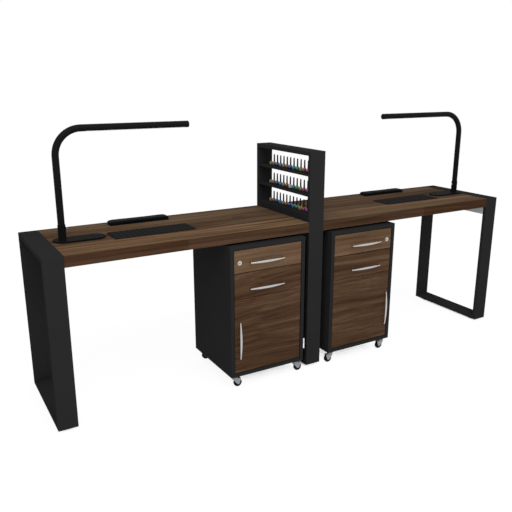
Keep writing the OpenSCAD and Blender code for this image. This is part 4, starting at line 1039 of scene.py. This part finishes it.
# CAD nodes whose shape stays: each gets its own finish
keptNodes = {
    "support_rails": coats["rail"], "table_fasteners": zinc, "floor_glides": coats["glide"],
    "hand_rest_boards": coats["restBoard"],
}
for side in sides:
    keptNodes[side + "_lamp_diffuser"] = coats["diffuser"]
    keptNodes[side + "_cabinet_hardware"] = blackZinc
    keptNodes[side + "_lock_barrel"] = nickel
    for drawer in ("top", "lower"):
        keptNodes[f"{side}_{drawer}_drawer_box"] = coats["drawerBox"]
for node, material in keptNodes.items():
    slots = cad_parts[node].data.materials
    slots.clear()
    slots.append(material)
print("kept nodes finished")

# Floor, world and key light
studio = {"floorSize": 16.0, "floorColor": (0.86, 0.86, 0.86, 1.0), "floorGlow": 0.86,
    "floorWhite": 1.07, "shade": 0.25, "shadeTo": 0.14,
    "ambient": 0.62, "keyPower": 90.0, "keyPlace": (-0.9, -2.6, 3.9), "keyAim": (0, 0, 0.6),
    "keySize": 3.0}


def makeFloor():
    freshStart()
    bpy.ops.mesh.primitive_grid_add(x_subdivisions=4, y_subdivisions=4, size=studio["floorSize"],
        location=(0, 0, 0))
    floor = bpy.context.object
    floor.name = "studioFloor"
    material = bpy.data.materials.new("studioFloor")
    material.use_nodes = True
    tree = material.node_tree
    tree.nodes.clear()
    paper = addNode(tree, "ShaderNodeBsdfDiffuse", Color=studio["floorColor"])
    openness = addNode(tree, "ShaderNodeAmbientOcclusion", Distance=studio["shade"]).outputs["AO"]
    strength = remap(tree, openness, 0.0, studio["shadeTo"], 0.0, studio["floorWhite"])
    glow = addNode(tree, "ShaderNodeEmission", {"Strength": strength})
    seen = addNode(tree, "ShaderNodeLightPath")
    share = calc(tree, "MULTIPLY", calc(tree, "MAXIMUM", seen.outputs["Is Camera Ray"],
        seen.outputs["Is Glossy Ray"]), studio["floorGlow"])
    mix = addNode(tree, "ShaderNodeMixShader", {0: share, 1: paper.outputs[0], 2: glow.outputs[0]})
    addNode(tree, "ShaderNodeOutputMaterial", {"Surface": mix.outputs[0]})
    floor.data.materials.append(material)


def makeWorld():
    world = bpy.data.worlds.new("studioWorld")
    bpy.context.scene.world = world
    world.use_nodes = True
    tree = world.node_tree
    tree.nodes.clear()
    seen = addNode(tree, "ShaderNodeLightPath")
    direct = calc(tree, "MAXIMUM", seen.outputs["Is Camera Ray"],
        calc(tree, "MAXIMUM", seen.outputs["Is Glossy Ray"], seen.outputs["Is Transmission Ray"]))
    strength = remap(tree, direct, 0.0, 1.0, studio["ambient"], 1.0, False)
    back = addNode(tree, "ShaderNodeBackground", {"Strength": strength})
    back.inputs["Color"].default_value = (1, 1, 1, 1)
    addNode(tree, "ShaderNodeOutputWorld", {"Surface": back.outputs[0]})


def makeKeyLamp():
    data = bpy.data.lights.new("softKey", "AREA")
    data.shape = "SQUARE"
    data.size = studio["keySize"]
    data.energy = studio["keyPower"]
    key = bpy.data.objects.new("softKey", data)
    key.location = studio["keyPlace"]
    aim = Vector(studio["keyAim"]) - Vector(studio["keyPlace"])
    key.rotation_euler = aim.to_track_quat("-Z", "Y").to_euler()
    bpy.context.scene.collection.objects.link(key)


makeFloor()
makeWorld()
makeKeyLamp()
bpy.context.scene.view_settings.view_transform = "Standard"
print("studio set")
